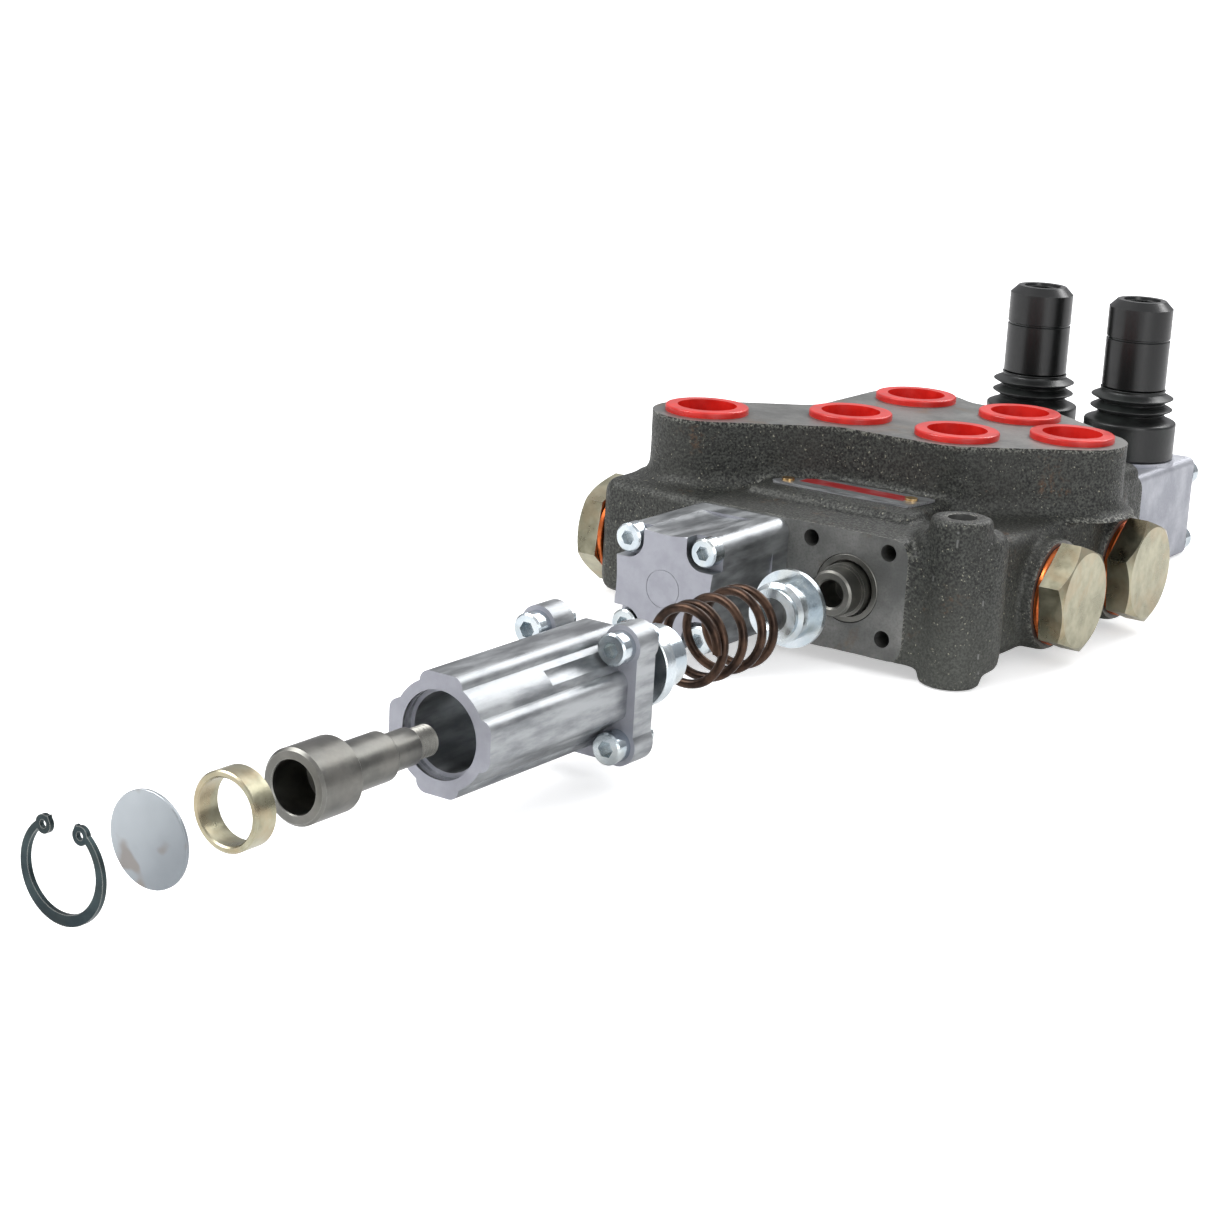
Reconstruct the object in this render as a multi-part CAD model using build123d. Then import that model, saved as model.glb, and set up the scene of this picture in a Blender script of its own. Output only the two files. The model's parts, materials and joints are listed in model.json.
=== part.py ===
from build123d import *
from math import cos, pi, radians, sin
import os

# Two-spool hydraulic monoblock valve, millimetres.
# X runs across the spools, Y runs along them towards the levers, Z is up.
# The dimensions below count from midway between the spools, on their axis plane, below the middle of
# ports A and B. The finished pieces are moved so that the origin lies on the front mounting bolt's axis.
# Spool 1's end cap is fitted. Spool 2's cap, spring pack and stem are drawn out along -Y.

# ---------------------------------------------------------------- driving dimensions
SPOOL_PITCH = 38.0
BODY_HALF = 84.4            # body length is twice this, between the machined end faces
PORT_Z = 37.3               # machined port face
LEDGE_Z = 16.0              # top of the lower casting
FLOOR_Z = -21.0             # underside of the casting
FOOT_Z = -24.5              # underside of the mounting bosses
STROKE = 5.0                # spool travel each way

SPOOL_X = (-SPOOL_PITCH / 2, SPOOL_PITCH / 2)
SPOOL_D = 15.96
BORE_D = 16.0
SPOOL_PROUD = 9.75          # spool nose beyond the front face
NOSE_D = 14.0
LAND_PROUD = 3.0

AB_Y = 21.6
PORTS = {
    "t": (-54.8, -50.3),
    "a1": (SPOOL_X[0], -AB_Y),
    "b1": (SPOOL_X[0], AB_Y),
    "a2": (SPOOL_X[1], -AB_Y),
    "b2": (SPOOL_X[1], AB_Y),
    "p": (46.5, 2.9),
}
PORT_BOSS_R = 17.2
HOLLOW_R = 12.0             # hollow curves between the port bosses
FLARE_R = 5.0               # hollow flare where the port block meets the ledge
LEAD_IN_D, LEAD_IN_DEPTH = 21.8, 8.0
PORT_BORE_D, PORT_BORE_DEPTH = 20.0, 14.0
PORT_CORE_D = 11.0
PLUG_FLANGE_D, PLUG_FLANGE_T = 26.4, 2.0
PLUG_SPIGOT_D, PLUG_SPIGOT_L = 21.4, 7.0
PLUG_INSIDE_D, PLUG_FLOOR_T = 18.8, 1.5

SCREW_GRID = 13.05          # half of the square of cap screws round a spool
SCREW_D, SCREW_HOLE_D, TAPPED_D, TAPPED_DEPTH = 4.9, 5.5, 5.1, 13.0
HEAD_D, HEAD_H = 8.6, 5.0
SOCKET_AF, SOCKET_DEPTH = 4.0, 2.6

PAD_X = (-36.4, 38.0)
PAD_Z = (-19.3, 17.5)
REAR_PAD_Z = (-23.5, 11.0)

SEAL_RECESS_D, SEAL_RECESS_DEPTH = 21.0, 2.2
SEAL_RING_BORE = 16.7
ORING_GROOVE_D, ORING_GROOVE_W = 20.4, 2.6
ORING_WIRE_R = 1.03

BOSSES = {
    "front_right": (50.6, -75.9, 26.0),
    "rear_right": (47.0, 62.0, -12.0),
    "rear_left": (-47.0, 62.0, -12.0),
}
ORIGIN_BOSS = "front_right"
BOSS_R = 9.3
PILLAR = (48.0, -70.0)      # broad round pillar that backs the front boss
PILLAR_R, PILLAR_TOP = 14.0, 20.5
BOSS_HOLE_D = 8.6

GALLERY_Z = -4.5
RIGHT_FACE_X = 60.2
RIGHT_PLUG_Y = (-28.0, 20.0)
LEFT_FACE_X = -77.5
LEFT_PLUG_Y = -57.0
HEX_AF, HEX_H = 30.0, 8.0
HEX_SHANK_D, HEX_SHANK_L, HEX_HOLE_D = 22.0, 14.0, 22.2
WASHER_D, WASHER_T = 31.0, 1.8
SIDE_BOSS_R = 17.5
SEAT_X = 30.0               # poppet seats
POPPET_D, POPPET_BORE_D, POPPET_SEAT_D = 12.94, 13.0, 8.0

# spring pack, given in its assembled place: distances forward of the front face
NECK_D, NECK_L = 9.4, 9.2
SHAFT_D, SHAFT_L = 12.3, 16.2
CUP_D, CUP_L, CUP_BORE_D, CUP_BORE_L = 18.4, 15.0, 12.8, 12.0
THREAD_D, THREAD_L, THREAD_PITCH = 7.9, 7.5, 1.25
SEAT_TUBE_D = 17.8
SEAT_HOLE_D = 9.9
SEAT_PLATE_T = 1.4
INNER_FLANGE_D, INNER_FLANGE_T = 22.9, 2.2
OUTER_RIM_D, OUTER_RIM_T = 23.5, 5.0
OUTER_SEAT_FRONT = 31.8
SPRING_WIRE, SPRING_OD, SPRING_FREE, SPRING_TURNS = 2.7, 24.0, 32.0, 5.0
SPRING_FITTED = OUTER_SEAT_FRONT - OUTER_RIM_T - INNER_FLANGE_T - STROKE - 0.2
CHAMBER_D = 25.0
CHAMBER_DEPTH = 31.95
CAP_BORE_D = 20.2

LONG_CAP_L = 65.2
FLANGE_T = 8.3
CAP_W = 34.0
MOUTH_D = 22.4
CLIP_T, CLIP_OD, CLIP_GROOVE_D = 1.2, 23.4, 24.4
DISC_D, DISC_T = 22.0, 1.0
RING_OD, RING_ID, RING_L = 18.8, 15.5, 6.6
CLIP_FRONT = 64.25          # circlip's front face, forward of the body's front face

SHORT_CAP_L = 41.0
SHORT_CAP_BASE = 36.0       # screw heads sit this far forward of the body
POCKET_D = 11.2
TUBE_R = 14.0
RIDGE_R = 15.4              # the tube's four ridges reach this far out
RIDGE_W = 13.0
EJECTOR_D = 11.5            # round mark in the middle of the fitted cap's face

# how far each loose piece is drawn out along -Y from its assembled place
DRAWN = {
    "inner_seat": 30.8,
    "spring": 54.3,
    "outer_seat": 81.3,
    "cap": 128.8,
    "stem": 196.25,
    "stop_ring": 207.0,
    "cover_disc": 229.4,
    "circlip": 253.0,
}

# lever boxes
BOX_W, BOX_L = 34.4, 46.0
BOX_Z = (-24.2, 11.0)
BOX_SCREW_Z = (4.5, -19.5)
BOX_BORE_D = 21.0
LEVER_Y = BODY_HALF + 25.6
PIVOT_Z = -17.0
PIVOT_D = 5.0
BALL_D, BALL_HOLE_D = 9.7, 10.0
TAIL_T = 9.0                # thickness of the spool's flattened tail
ROD_D, SHANK_D = 8.0, 6.0   # the lever's rod, and its thinner shank inside the spool's tail
SHANK_TOP, ROD_BOTTOM = 8.0, 11.0
SLEEVE_D, SLEEVE_Z = 22.0, (36.2, 67.0)
SLEEVE_HOLE_D, SLEEVE_HOLE_L = 8.4, 14.0
BOOT_BASE_D, BOOT_BASE_H = 32.0, 17.0

PLATE_X, PLATE_Y, PLATE_Z, PLATE_T = (-26.0, 22.5), (-56.5, -42.0), 20.3, 0.8
RIVET_D = 2.2


# ---------------------------------------------------------------- helpers
def cyl_y(diameter, y0, y1, x=0.0, z=0.0):
    """A cylinder along Y from y0 to y1."""
    low, high = min(y0, y1), max(y0, y1)
    body = Cylinder(diameter / 2, high - low, align=(Align.CENTER, Align.CENTER, Align.MIN))
    return Pos(x, low, z) * Rot(-90, 0, 0) * body


def cyl_x(diameter, x0, x1, y=0.0, z=0.0):
    """A cylinder along X from x0 to x1."""
    low, high = min(x0, x1), max(x0, x1)
    body = Cylinder(diameter / 2, high - low, align=(Align.CENTER, Align.CENTER, Align.MIN))
    return Pos(low, y, z) * Rot(0, 90, 0) * body


def cyl_z(diameter, z0, z1, x=0.0, y=0.0):
    """A cylinder along Z from z0 to z1."""
    low, high = min(z0, z1), max(z0, z1)
    return Pos(x, y, low) * Cylinder(diameter / 2, high - low, align=(Align.CENTER, Align.CENTER, Align.MIN))


def block(x0, x1, y0, y1, z0, z1):
    """A box between two corners."""
    size = (abs(x1 - x0), abs(y1 - y0), abs(z1 - z0))
    return Pos((x0 + x1) / 2, (y0 + y1) / 2, (z0 + z1) / 2) * Box(*size)


def rounded_y(x0, x1, z0, z1, y0, y1, radius):
    """A block along Y whose four long edges are rounded."""
    plan = RectangleRounded(x1 - x0, z1 - z0, radius)
    solid = extrude(plan, y1 - y0)
    return Pos((x0 + x1) / 2, y0, (z0 + z1) / 2) * Rot(-90, 0, 0) * solid


def revolve_y(profile, x=0.0, z=0.0):
    """A turned piece about the Y axis. The profile is a list of (radius, y) points."""
    face = make_face(Plane.XY * Polyline(*[(r, y) for r, y in profile], close=True))
    return Pos(x, 0, z) * revolve(face, Axis.Y)


def revolve_z(profile, x=0.0, y=0.0):
    """A turned piece about a vertical axis. The profile is a list of (radius, z) points."""
    face = make_face(Plane.XZ * Polyline(*[(r, z) for r, z in profile], close=True))
    return Pos(x, y, 0) * revolve(face, Axis.Z)


def forward(distance):
    """The Y of a point this far forward of the front face."""
    return -BODY_HALF - distance


def write(node, shape):
    """Writes one sub-part, as one solid or a group of separate solids, in the part's own frame."""
    x, y, _ = BOSSES[ORIGIN_BOSS]
    solids = [Pos(-x, -y, 0) * solid for solid in shape.solids()]
    shape = solids[0] if len(solids) == 1 else Compound(children=solids)
    shape.label = node
    export_step(shape, f"parts/{node}.step")


# ---------------------------------------------------------------- casting
def web(a, b, radius):
    """The straight-sided strip between two equal round bosses."""
    ax, ay = PORTS[a]
    bx, by = PORTS[b]
    run = Vector(bx - ax, by - ay).normalized()
    side = Vector(-run.Y, run.X) * radius
    start, end = Vector(ax, ay), Vector(bx, by)
    return make_face(Polyline(start + side, end + side, end - side, start - side, close=True))


def port_plan():
    """Plan of the raised block that carries the six ports, with hollow curves between its bosses."""
    webs = (("t", "a1"), ("a1", "a2"), ("a1", "b1"), ("a2", "b2"), ("a2", "p"), ("b2", "p"))
    plan = Sketch() + [Pos(x, y) * Circle(PORT_BOSS_R) for x, y in PORTS.values()]
    plan += [web(a, b, PORT_BOSS_R) for a, b in webs]
    plan += Pos(0, 1) * Rectangle(SPOOL_PITCH, 2 * AB_Y)
    return offset(offset(plan, HOLLOW_R, kind=Kind.ARC), -HOLLOW_R, kind=Kind.ARC)


def lower_casting():
    """The wide lower part of the body, with its left block and the ledge round the port block."""
    outline = Polyline(
        (LEFT_FACE_X, -74), (-38, -78), (PAD_X[1] + 3, -78), (52, -64), (56, -48),
        (RIGHT_FACE_X - 5, -28),
        (RIGHT_FACE_X - 1, 0), (RIGHT_FACE_X - 5, 22), (50, 44), (37.2, 60), (37.2, BODY_HALF),
        (-37.2, BODY_HALF), (-37.2, 60), (-46, 24), (-56, -8), (LEFT_FACE_X, -30), close=True)
    plan = fillet(make_face(outline).vertices(), 5)
    solid = extrude(Pos(0, 0, FLOOR_Z) * plan, LEDGE_Z - FLOOR_Z)
    rim = solid.edges().group_by(Axis.Z)
    return fillet(rim[-1] + rim[0], 4)


def flared_block(plan):
    """The port block with a hollow flare round its foot, standing on a wide plate."""
    block_up = extrude(Pos(0, 0, LEDGE_Z - 4) * plan, PORT_Z - LEDGE_Z + 4)
    plate = block(-110, 110, -110, 110, FLOOR_Z - 5, LEDGE_Z)
    solid = plate + block_up
    seam = [e for e in solid.edges() if abs(e.center().Z - LEDGE_Z) < 0.01 and e.center().length < 100]
    return fillet(seam, FLARE_R)


def casting():
    """The casting before machining."""
    plan = port_plan()
    reach = lower_casting() + extrude(Pos(0, 0, LEDGE_Z - 0.8) * plan, PORT_Z)
    reach += extrude(Pos(0, 0, LEDGE_Z - 0.8) * offset(plan, FLARE_R), FLARE_R + 1)
    body = flared_block(plan) & reach
    pad = rounded_y(PAD_X[0], PAD_X[1], PAD_Z[0], PAD_Z[1], -BODY_HALF, -BODY_HALF + 30, 4)
    rear = rounded_y(-37.2, 37.2, REAR_PAD_Z[0], REAR_PAD_Z[1], BODY_HALF - 26, BODY_HALF, 4)
    ledge = block(PLATE_X[0] - 4, PLATE_X[1] + 5, PLATE_Y[0] - 8, PLATE_Y[1] + 6, 0, PLATE_Z)
    ledge = fillet(ledge.edges().group_by(Axis.Z)[-1], 1.5)
    body += [pad, rear, ledge]
    for y in RIGHT_PLUG_Y:
        boss = cyl_x(2 * SIDE_BOSS_R, 20, RIGHT_FACE_X, y, GALLERY_Z)
        body += fillet(boss.edges().sort_by(Axis.X)[-1], 1.5)
    pillar = cyl_z(2 * PILLAR_R, FLOOR_Z, PILLAR_TOP, *PILLAR)
    body += fillet(pillar.edges().filter_by(GeomType.CIRCLE), 3.5)
    for x, y, top in BOSSES.values():
        boss = cyl_z(2 * BOSS_R, FOOT_Z, top, x, y)
        body += fillet(boss.edges().filter_by(GeomType.CIRCLE), 1)
        body += block(x * 0.7, x, y - BOSS_R * 0.8, y + BOSS_R * 0.8, FLOOR_Z + 1, min(top, LEDGE_Z) - 2)
    return body


def machined_body():
    """The casting with its end faces, spool bores, ports, galleries and tapped holes."""
    body = casting()
    cuts = []
    for x in SPOOL_X:
        cuts.append(cyl_y(BORE_D, -BODY_HALF - 1, BODY_HALF + 1, x))
        for end in (-1, 1):
            face = end * BODY_HALF
            inner = face - end * SEAL_RECESS_DEPTH
            cuts.append(cyl_y(SEAL_RECESS_D, face + end, inner, x))
            cuts.append(cyl_y(ORING_GROOVE_D, inner, inner - end * ORING_GROOVE_W, x))
        for sx in (-1, 1):
            for z in (-SCREW_GRID, SCREW_GRID):
                hole_x = x + sx * SCREW_GRID
                cuts.append(cyl_y(TAPPED_D, -BODY_HALF - 1, -BODY_HALF + TAPPED_DEPTH, hole_x, z))
            for z in BOX_SCREW_Z:
                cuts.append(cyl_y(TAPPED_D, BODY_HALF + 1, BODY_HALF - TAPPED_DEPTH, x + sx * SCREW_GRID, z))
        cuts.append(cyl_y(BORE_D + 6, -4, 4, x))
        for y in (-AB_Y, AB_Y):
            cuts.append(cyl_y(BORE_D + 6, y - 5, y + 5, x))
    for name, (x, y) in PORTS.items():
        lead = PORT_Z - LEAD_IN_DEPTH
        cuts.append(cyl_z(LEAD_IN_D, lead, PORT_Z + 1, x, y))
        cuts.append(cyl_z(PORT_BORE_D, lead - PORT_BORE_DEPTH, lead, x, y))
        cuts.append(cyl_z(PORT_CORE_D, GALLERY_Z if name in "tp" else 0, PORT_Z, x, y))
    cuts.append(cyl_x(PORT_CORE_D, LEFT_FACE_X - 1, 30, LEFT_PLUG_Y, GALLERY_Z))
    cuts.append(cyl_x(HEX_HOLE_D, LEFT_FACE_X - 1, LEFT_FACE_X + HEX_SHANK_L + 1, LEFT_PLUG_Y, GALLERY_Z))
    for y in RIGHT_PLUG_Y:
        cuts.append(cyl_x(HEX_HOLE_D, RIGHT_FACE_X + 1, RIGHT_FACE_X - HEX_SHANK_L - 1, y, GALLERY_Z))
        cuts.append(cyl_x(POPPET_BORE_D, RIGHT_FACE_X, SEAT_X, y, GALLERY_Z))
        cuts.append(cyl_x(POPPET_SEAT_D, SEAT_X, SPOOL_X[0], y, GALLERY_Z))
    px, py = PORTS["p"]
    cuts.append(cyl_y(PORT_CORE_D - 2, RIGHT_PLUG_Y[0], RIGHT_PLUG_Y[1], SEAT_X + 3, GALLERY_Z))
    cuts.append(cyl_x(PORT_CORE_D - 2, SEAT_X + 3, px, py, GALLERY_Z))
    for x, y, top in BOSSES.values():
        cuts.append(cyl_z(BOSS_HOLE_D, FOOT_Z - 1, top + 1, x, y))
    for x, y in rivet_places():
        cuts.append(cyl_z(RIVET_D + 0.1, PLATE_Z - 5, PLATE_Z + 1, x, y))
    return body - cuts


# ---------------------------------------------------------------- ports and plate
def rivet_places():
    """Places of the nameplate's two rivets."""
    return [(PLATE_X[0] + 4.5, PLATE_Y[0] + 3), (PLATE_X[1] - 3, (PLATE_Y[0] + PLATE_Y[1]) / 2)]


def port_plug(x, y):
    """Plastic transit plug: a flange, a spigot and a floor."""
    top = PORT_Z + PLUG_FLANGE_T
    plug = cyl_z(PLUG_FLANGE_D, PORT_Z, top, x, y)
    plug = fillet(plug.edges().group_by(Axis.Z)[-1], 0.6)
    plug += cyl_z(PLUG_SPIGOT_D, PORT_Z - PLUG_SPIGOT_L, PORT_Z, x, y)
    return plug - cyl_z(PLUG_INSIDE_D, PORT_Z - PLUG_SPIGOT_L + PLUG_FLOOR_T, top + 1, x, y)


def nameplate():
    """Thin blank plate riveted to the ledge in front of the ports."""
    outline = Polyline(
        (PLATE_X[0], PLATE_Y[0]), (PLATE_X[1], PLATE_Y[0]), (PLATE_X[1] + 2, PLATE_Y[1]),
        (PLATE_X[0] + 13, PLATE_Y[1] - 1), (PLATE_X[0] + 1, PLATE_Y[0] + 4), close=True)
    plate = extrude(Pos(0, 0, PLATE_Z + 0.02) * make_face(outline), PLATE_T)
    plate = fillet(plate.edges().filter_by(Axis.Z), 1)
    return plate - [cyl_z(RIVET_D + 0.1, PLATE_Z - 1, PLATE_Z + 2, x, y) for x, y in rivet_places()]


def nameplate_rivets():
    """Round-headed rivets that hold the nameplate."""
    rivets = []
    for x, y in rivet_places():
        top = PLATE_Z + PLATE_T + 0.04
        rivets.append(cyl_z(RIVET_D, PLATE_Z - 4, top, x, y) + cyl_z(RIVET_D * 1.8, top, top + 0.8, x, y))
    return Compound(children=rivets)


# ---------------------------------------------------------------- spools and seals
def spool(x):
    """Spool with its nose, lands, tapped nose hole and flattened tail with the lever's hole."""
    nose_end = forward(SPOOL_PROUD)
    land_end = forward(LAND_PROUD)
    tail_end = LEVER_Y + 9
    body = cyl_y(SPOOL_D, land_end, BODY_HALF + 9, x)
    body += chamfer(cyl_y(NOSE_D, nose_end, land_end, x).edges().sort_by(Axis.Y)[0], 0.6)
    body += chamfer(cyl_y(NOSE_D, BODY_HALF + 9, tail_end, x).edges().sort_by(Axis.Y)[-1], 1)
    for centre in (-AB_Y - 12, -AB_Y + 11, AB_Y - 11, AB_Y + 12):
        groove = cyl_y(SPOOL_D + 1, centre - 4, centre + 4, x) - cyl_y(10.5, centre - 5, centre + 5, x)
        body -= groove
    body -= cyl_y(THREAD_D + 0.3, nose_end - 1, nose_end + THREAD_L + 3, x)
    body -= revolve_y([(0, nose_end), (4.7, nose_end), (0, nose_end + 4.7)], x)
    for side in (-1, 1):
        body -= block(x - 10, x + 10, BODY_HALF + 14, tail_end + 1, side * TAIL_T / 2, side * 10)
    return body - cyl_z(BALL_HOLE_D, -10, 10, x, LEVER_Y)


def seal_rings(end):
    """The steel rings in the recesses round the two spools at one end."""
    rings = []
    face = end * BODY_HALF
    for x in SPOOL_X:
        ring = cyl_y(SEAL_RECESS_D - 0.1, face, face - end * (SEAL_RECESS_DEPTH - 0.05), x)
        ring -= cyl_y(SEAL_RING_BORE, face + end, face - end * 5, x)
        rings.append(chamfer([edge for edge in ring.edges() if abs(edge.center().Y - face) < 0.01], 0.3))
    return Compound(children=rings)


def spool_orings(end):
    """The O-rings behind the steel rings."""
    rings = []
    centre = end * (BODY_HALF - SEAL_RECESS_DEPTH - ORING_GROOVE_W / 2)
    for x in SPOOL_X:
        ring = Torus(SPOOL_D / 2 + ORING_WIRE_R + 0.02, ORING_WIRE_R)
        rings.append(Pos(x, centre, 0) * Rot(90, 0, 0) * ring)
    return Compound(children=rings)


# ---------------------------------------------------------------- spring pack
def inner_seat(x):
    """Flanged hat over the spool's nose."""
    deep = SPOOL_PROUD + 0.25
    profile = [
        (SPOOL_D / 2 + 0.25, forward(0.05)), (INNER_FLANGE_D / 2 - 0.4, forward(0.05)),
        (INNER_FLANGE_D / 2, forward(0.5)), (INNER_FLANGE_D / 2, forward(INNER_FLANGE_T)),
        (SEAT_TUBE_D / 2, forward(INNER_FLANGE_T)), (SEAT_TUBE_D / 2, forward(8.6)),
        (7.6, forward(9.4)), (7.6, forward(deep + SEAT_PLATE_T)),
        (SEAT_HOLE_D / 2, forward(deep + SEAT_PLATE_T)), (SEAT_HOLE_D / 2, forward(deep)),
        (NOSE_D / 2 + 0.2, forward(deep)), (NOSE_D / 2 + 0.2, forward(3.4)),
        (SPOOL_D / 2 + 0.25, forward(3.4))]
    return revolve_y(profile, x)


def outer_seat(x):
    """Hat with a heavy rim, held against the cap's inner shoulder."""
    tip = forward(SPOOL_PROUD + NECK_L - SEAT_PLATE_T - 0.1)
    plate = forward(SPOOL_PROUD + NECK_L - 0.1)
    rim_back = forward(OUTER_SEAT_FRONT - OUTER_RIM_T)
    rim_front = forward(OUTER_SEAT_FRONT)
    inside = SHAFT_D / 2 + 0.45
    return revolve_y([
        (SEAT_HOLE_D / 2, tip), (SEAT_TUBE_D / 2 - 0.8, tip), (SEAT_TUBE_D / 2, tip - 0.8),
        (SEAT_TUBE_D / 2, rim_back), (OUTER_RIM_D / 2 - 0.8, rim_back), (OUTER_RIM_D / 2, rim_back - 0.8),
        (OUTER_RIM_D / 2, rim_front + 0.3), (OUTER_RIM_D / 2 - 0.3, rim_front), (inside, rim_front),
        (inside, plate), (SEAT_HOLE_D / 2, plate)], x)


def coil_spring(x, back, length, turns):
    """Round-wire spring with ground ends, from y = back to y = back - length."""
    mean_r = (SPRING_OD - SPRING_WIRE) / 2
    rise = length - 0.2 * SPRING_WIRE
    path = Helix(rise / turns, rise, mean_r)
    section = Plane(origin=path @ 0, z_dir=path % 0) * Circle(SPRING_WIRE / 2)
    coil = sweep(section, path=path, is_frenet=True)
    coil = Pos(x, back - 0.1 * SPRING_WIRE, 0) * Rot(90, 0, 0) * coil
    return coil & block(x - 20, x + 20, back - length, back, -20, 20)


def stem_profile_thread(start):
    """Points of a thread's flank profile, from the tip at y = start towards the shoulder."""
    points = []
    root = THREAD_D / 2 - 0.55
    for turn in range(int(THREAD_L / THREAD_PITCH)):
        y = start - turn * THREAD_PITCH
        points += [(root, y), (THREAD_D / 2, y - THREAD_PITCH * 0.45)]
        points += [(THREAD_D / 2, y - THREAD_PITCH * 0.55)]
    return points


def stem(x):
    """Detent stem: thread, neck, shaft and an open cup towards the cap's mouth."""
    shoulder = forward(SPOOL_PROUD)
    neck = shoulder - NECK_L
    shaft = neck - SHAFT_L
    mouth = shaft - CUP_L
    tip = shoulder + THREAD_L
    profile = [(0, tip)] + stem_profile_thread(tip)
    profile += [
        (THREAD_D / 2 - 0.55, shoulder + 0.05), (NECK_D / 2, shoulder - 0.02), (NECK_D / 2, neck),
        (SHAFT_D / 2 - 0.9, neck), (SHAFT_D / 2, neck - 1.2), (SHAFT_D / 2, shaft),
        (CUP_D / 2 - 1.6, shaft), (CUP_D / 2, shaft - 1.8), (CUP_D / 2, mouth + 0.7),
        (CUP_D / 2 - 0.7, mouth),
        (CUP_BORE_D / 2 + 0.2, mouth), (CUP_BORE_D / 2, mouth + 0.3), (CUP_BORE_D / 2, mouth + CUP_BORE_L),
        (0, mouth + CUP_BORE_L + 2)]
    return revolve_y(profile, x)


def shoulder_bolt(x):
    """The short stem under the fitted cap: thread, neck and a hexagon-socket head."""
    shoulder = forward(SPOOL_PROUD)
    neck = shoulder - NECK_L - STROKE
    head = neck - 6
    tip = shoulder + THREAD_L
    profile = [(0, tip)] + stem_profile_thread(tip)
    profile += [
        (THREAD_D / 2 - 0.55, shoulder + 0.05), (NECK_D / 2, shoulder - 0.02), (NECK_D / 2, neck),
        (SHAFT_D / 2, neck), (SHAFT_D / 2, head + 0.6), (SHAFT_D / 2 - 0.6, head), (0, head)]
    socket = extrude(RegularPolygon(2.9, 6), 3)
    return revolve_y(profile, x) - Pos(x, head, 0) * Rot(-90, 0, 0) * socket


# ---------------------------------------------------------------- caps and screws
def socket_screw(x, z, head_face, shank):
    """Socket-head screw whose head's front face is at y = head_face."""
    seat = head_face + HEAD_H
    head = cyl_y(HEAD_D, head_face, seat, x, z)
    head = chamfer(head.edges().sort_by(Axis.Y)[0], 0.5)
    body = head + chamfer(cyl_y(SCREW_D, seat, seat + shank, x, z).edges().sort_by(Axis.Y)[-1], 0.6)
    socket = extrude(RegularPolygon(SOCKET_AF / 2 / cos(pi / 6), 6), SOCKET_DEPTH)
    return body - Pos(x, head_face, z) * Rot(-90, 0, 0) * socket


def screw_grid(x):
    """Places of the four cap screws round a spool."""
    return [(x + sx * SCREW_GRID, sz * SCREW_GRID) for sx in (-1, 1) for sz in (-1, 1)]


def cap_screws(x, seat_at, shank):
    """The four socket screws of one end cap; their heads sit this far forward of the body."""
    top = forward(seat_at + HEAD_H)
    return Compound(children=[socket_screw(px, pz, top, shank) for px, pz in screw_grid(x)])


def spring_chamber(x, end):
    """The space for the spring pack inside a cap."""
    return cyl_y(CHAMBER_D, forward(-1), forward(CHAMBER_DEPTH), x) + cyl_y(CAP_BORE_D, forward(0), end, x)


def screw_pocket(x, side, up):
    """One corner pocket of the fitted cap, round about the screw head and open to both sides."""
    px, pz = x + side * SCREW_GRID, up * SCREW_GRID
    front, floor = forward(SHORT_CAP_L + 1), forward(SHORT_CAP_BASE)
    radius, outside = POCKET_D / 2, SCREW_GRID * 1.5
    pocket = cyl_y(POCKET_D, front, floor, px, pz)
    pocket += block(px, px + side * radius, front, floor, pz - up * radius, up * outside)
    return pocket + block(px - side * radius, x + side * outside, front, floor, pz, pz + up * radius)


def short_cap():
    """The fitted cap: a block with a cross-shaped face and four pockets for its screws."""
    x = SPOOL_X[0]
    half = CAP_W / 2
    body = rounded_y(x - half, x + half, -half, half, forward(SHORT_CAP_L), forward(0), 4)
    top = [e for e in body.edges() if abs(e.center().Y - forward(SHORT_CAP_L)) < 0.01]
    body = fillet(top, 0.8)
    for side in (-1, 1):
        body -= cyl_y(90, forward(SHORT_CAP_L + 1), forward(FLANGE_T), x + side * (half + 44.2), 0)
        body -= cyl_y(90, forward(SHORT_CAP_L + 1), forward(FLANGE_T), x, side * (half + 44.2))
    for side in (-1, 1):
        for up in (-1, 1):
            body -= screw_pocket(x, side, up)
            hole_x, hole_z = x + side * SCREW_GRID, up * SCREW_GRID
            body -= cyl_y(SCREW_HOLE_D, forward(SHORT_CAP_BASE + 1), forward(-1), hole_x, hole_z)
    mark = cyl_y(EJECTOR_D, forward(SHORT_CAP_L + 1), forward(SHORT_CAP_L - 0.15), x)
    body -= mark - cyl_y(EJECTOR_D - 0.4, forward(SHORT_CAP_L + 2), forward(0), x)
    return body - spring_chamber(x, forward(SHORT_CAP_L - 3.5))


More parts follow.
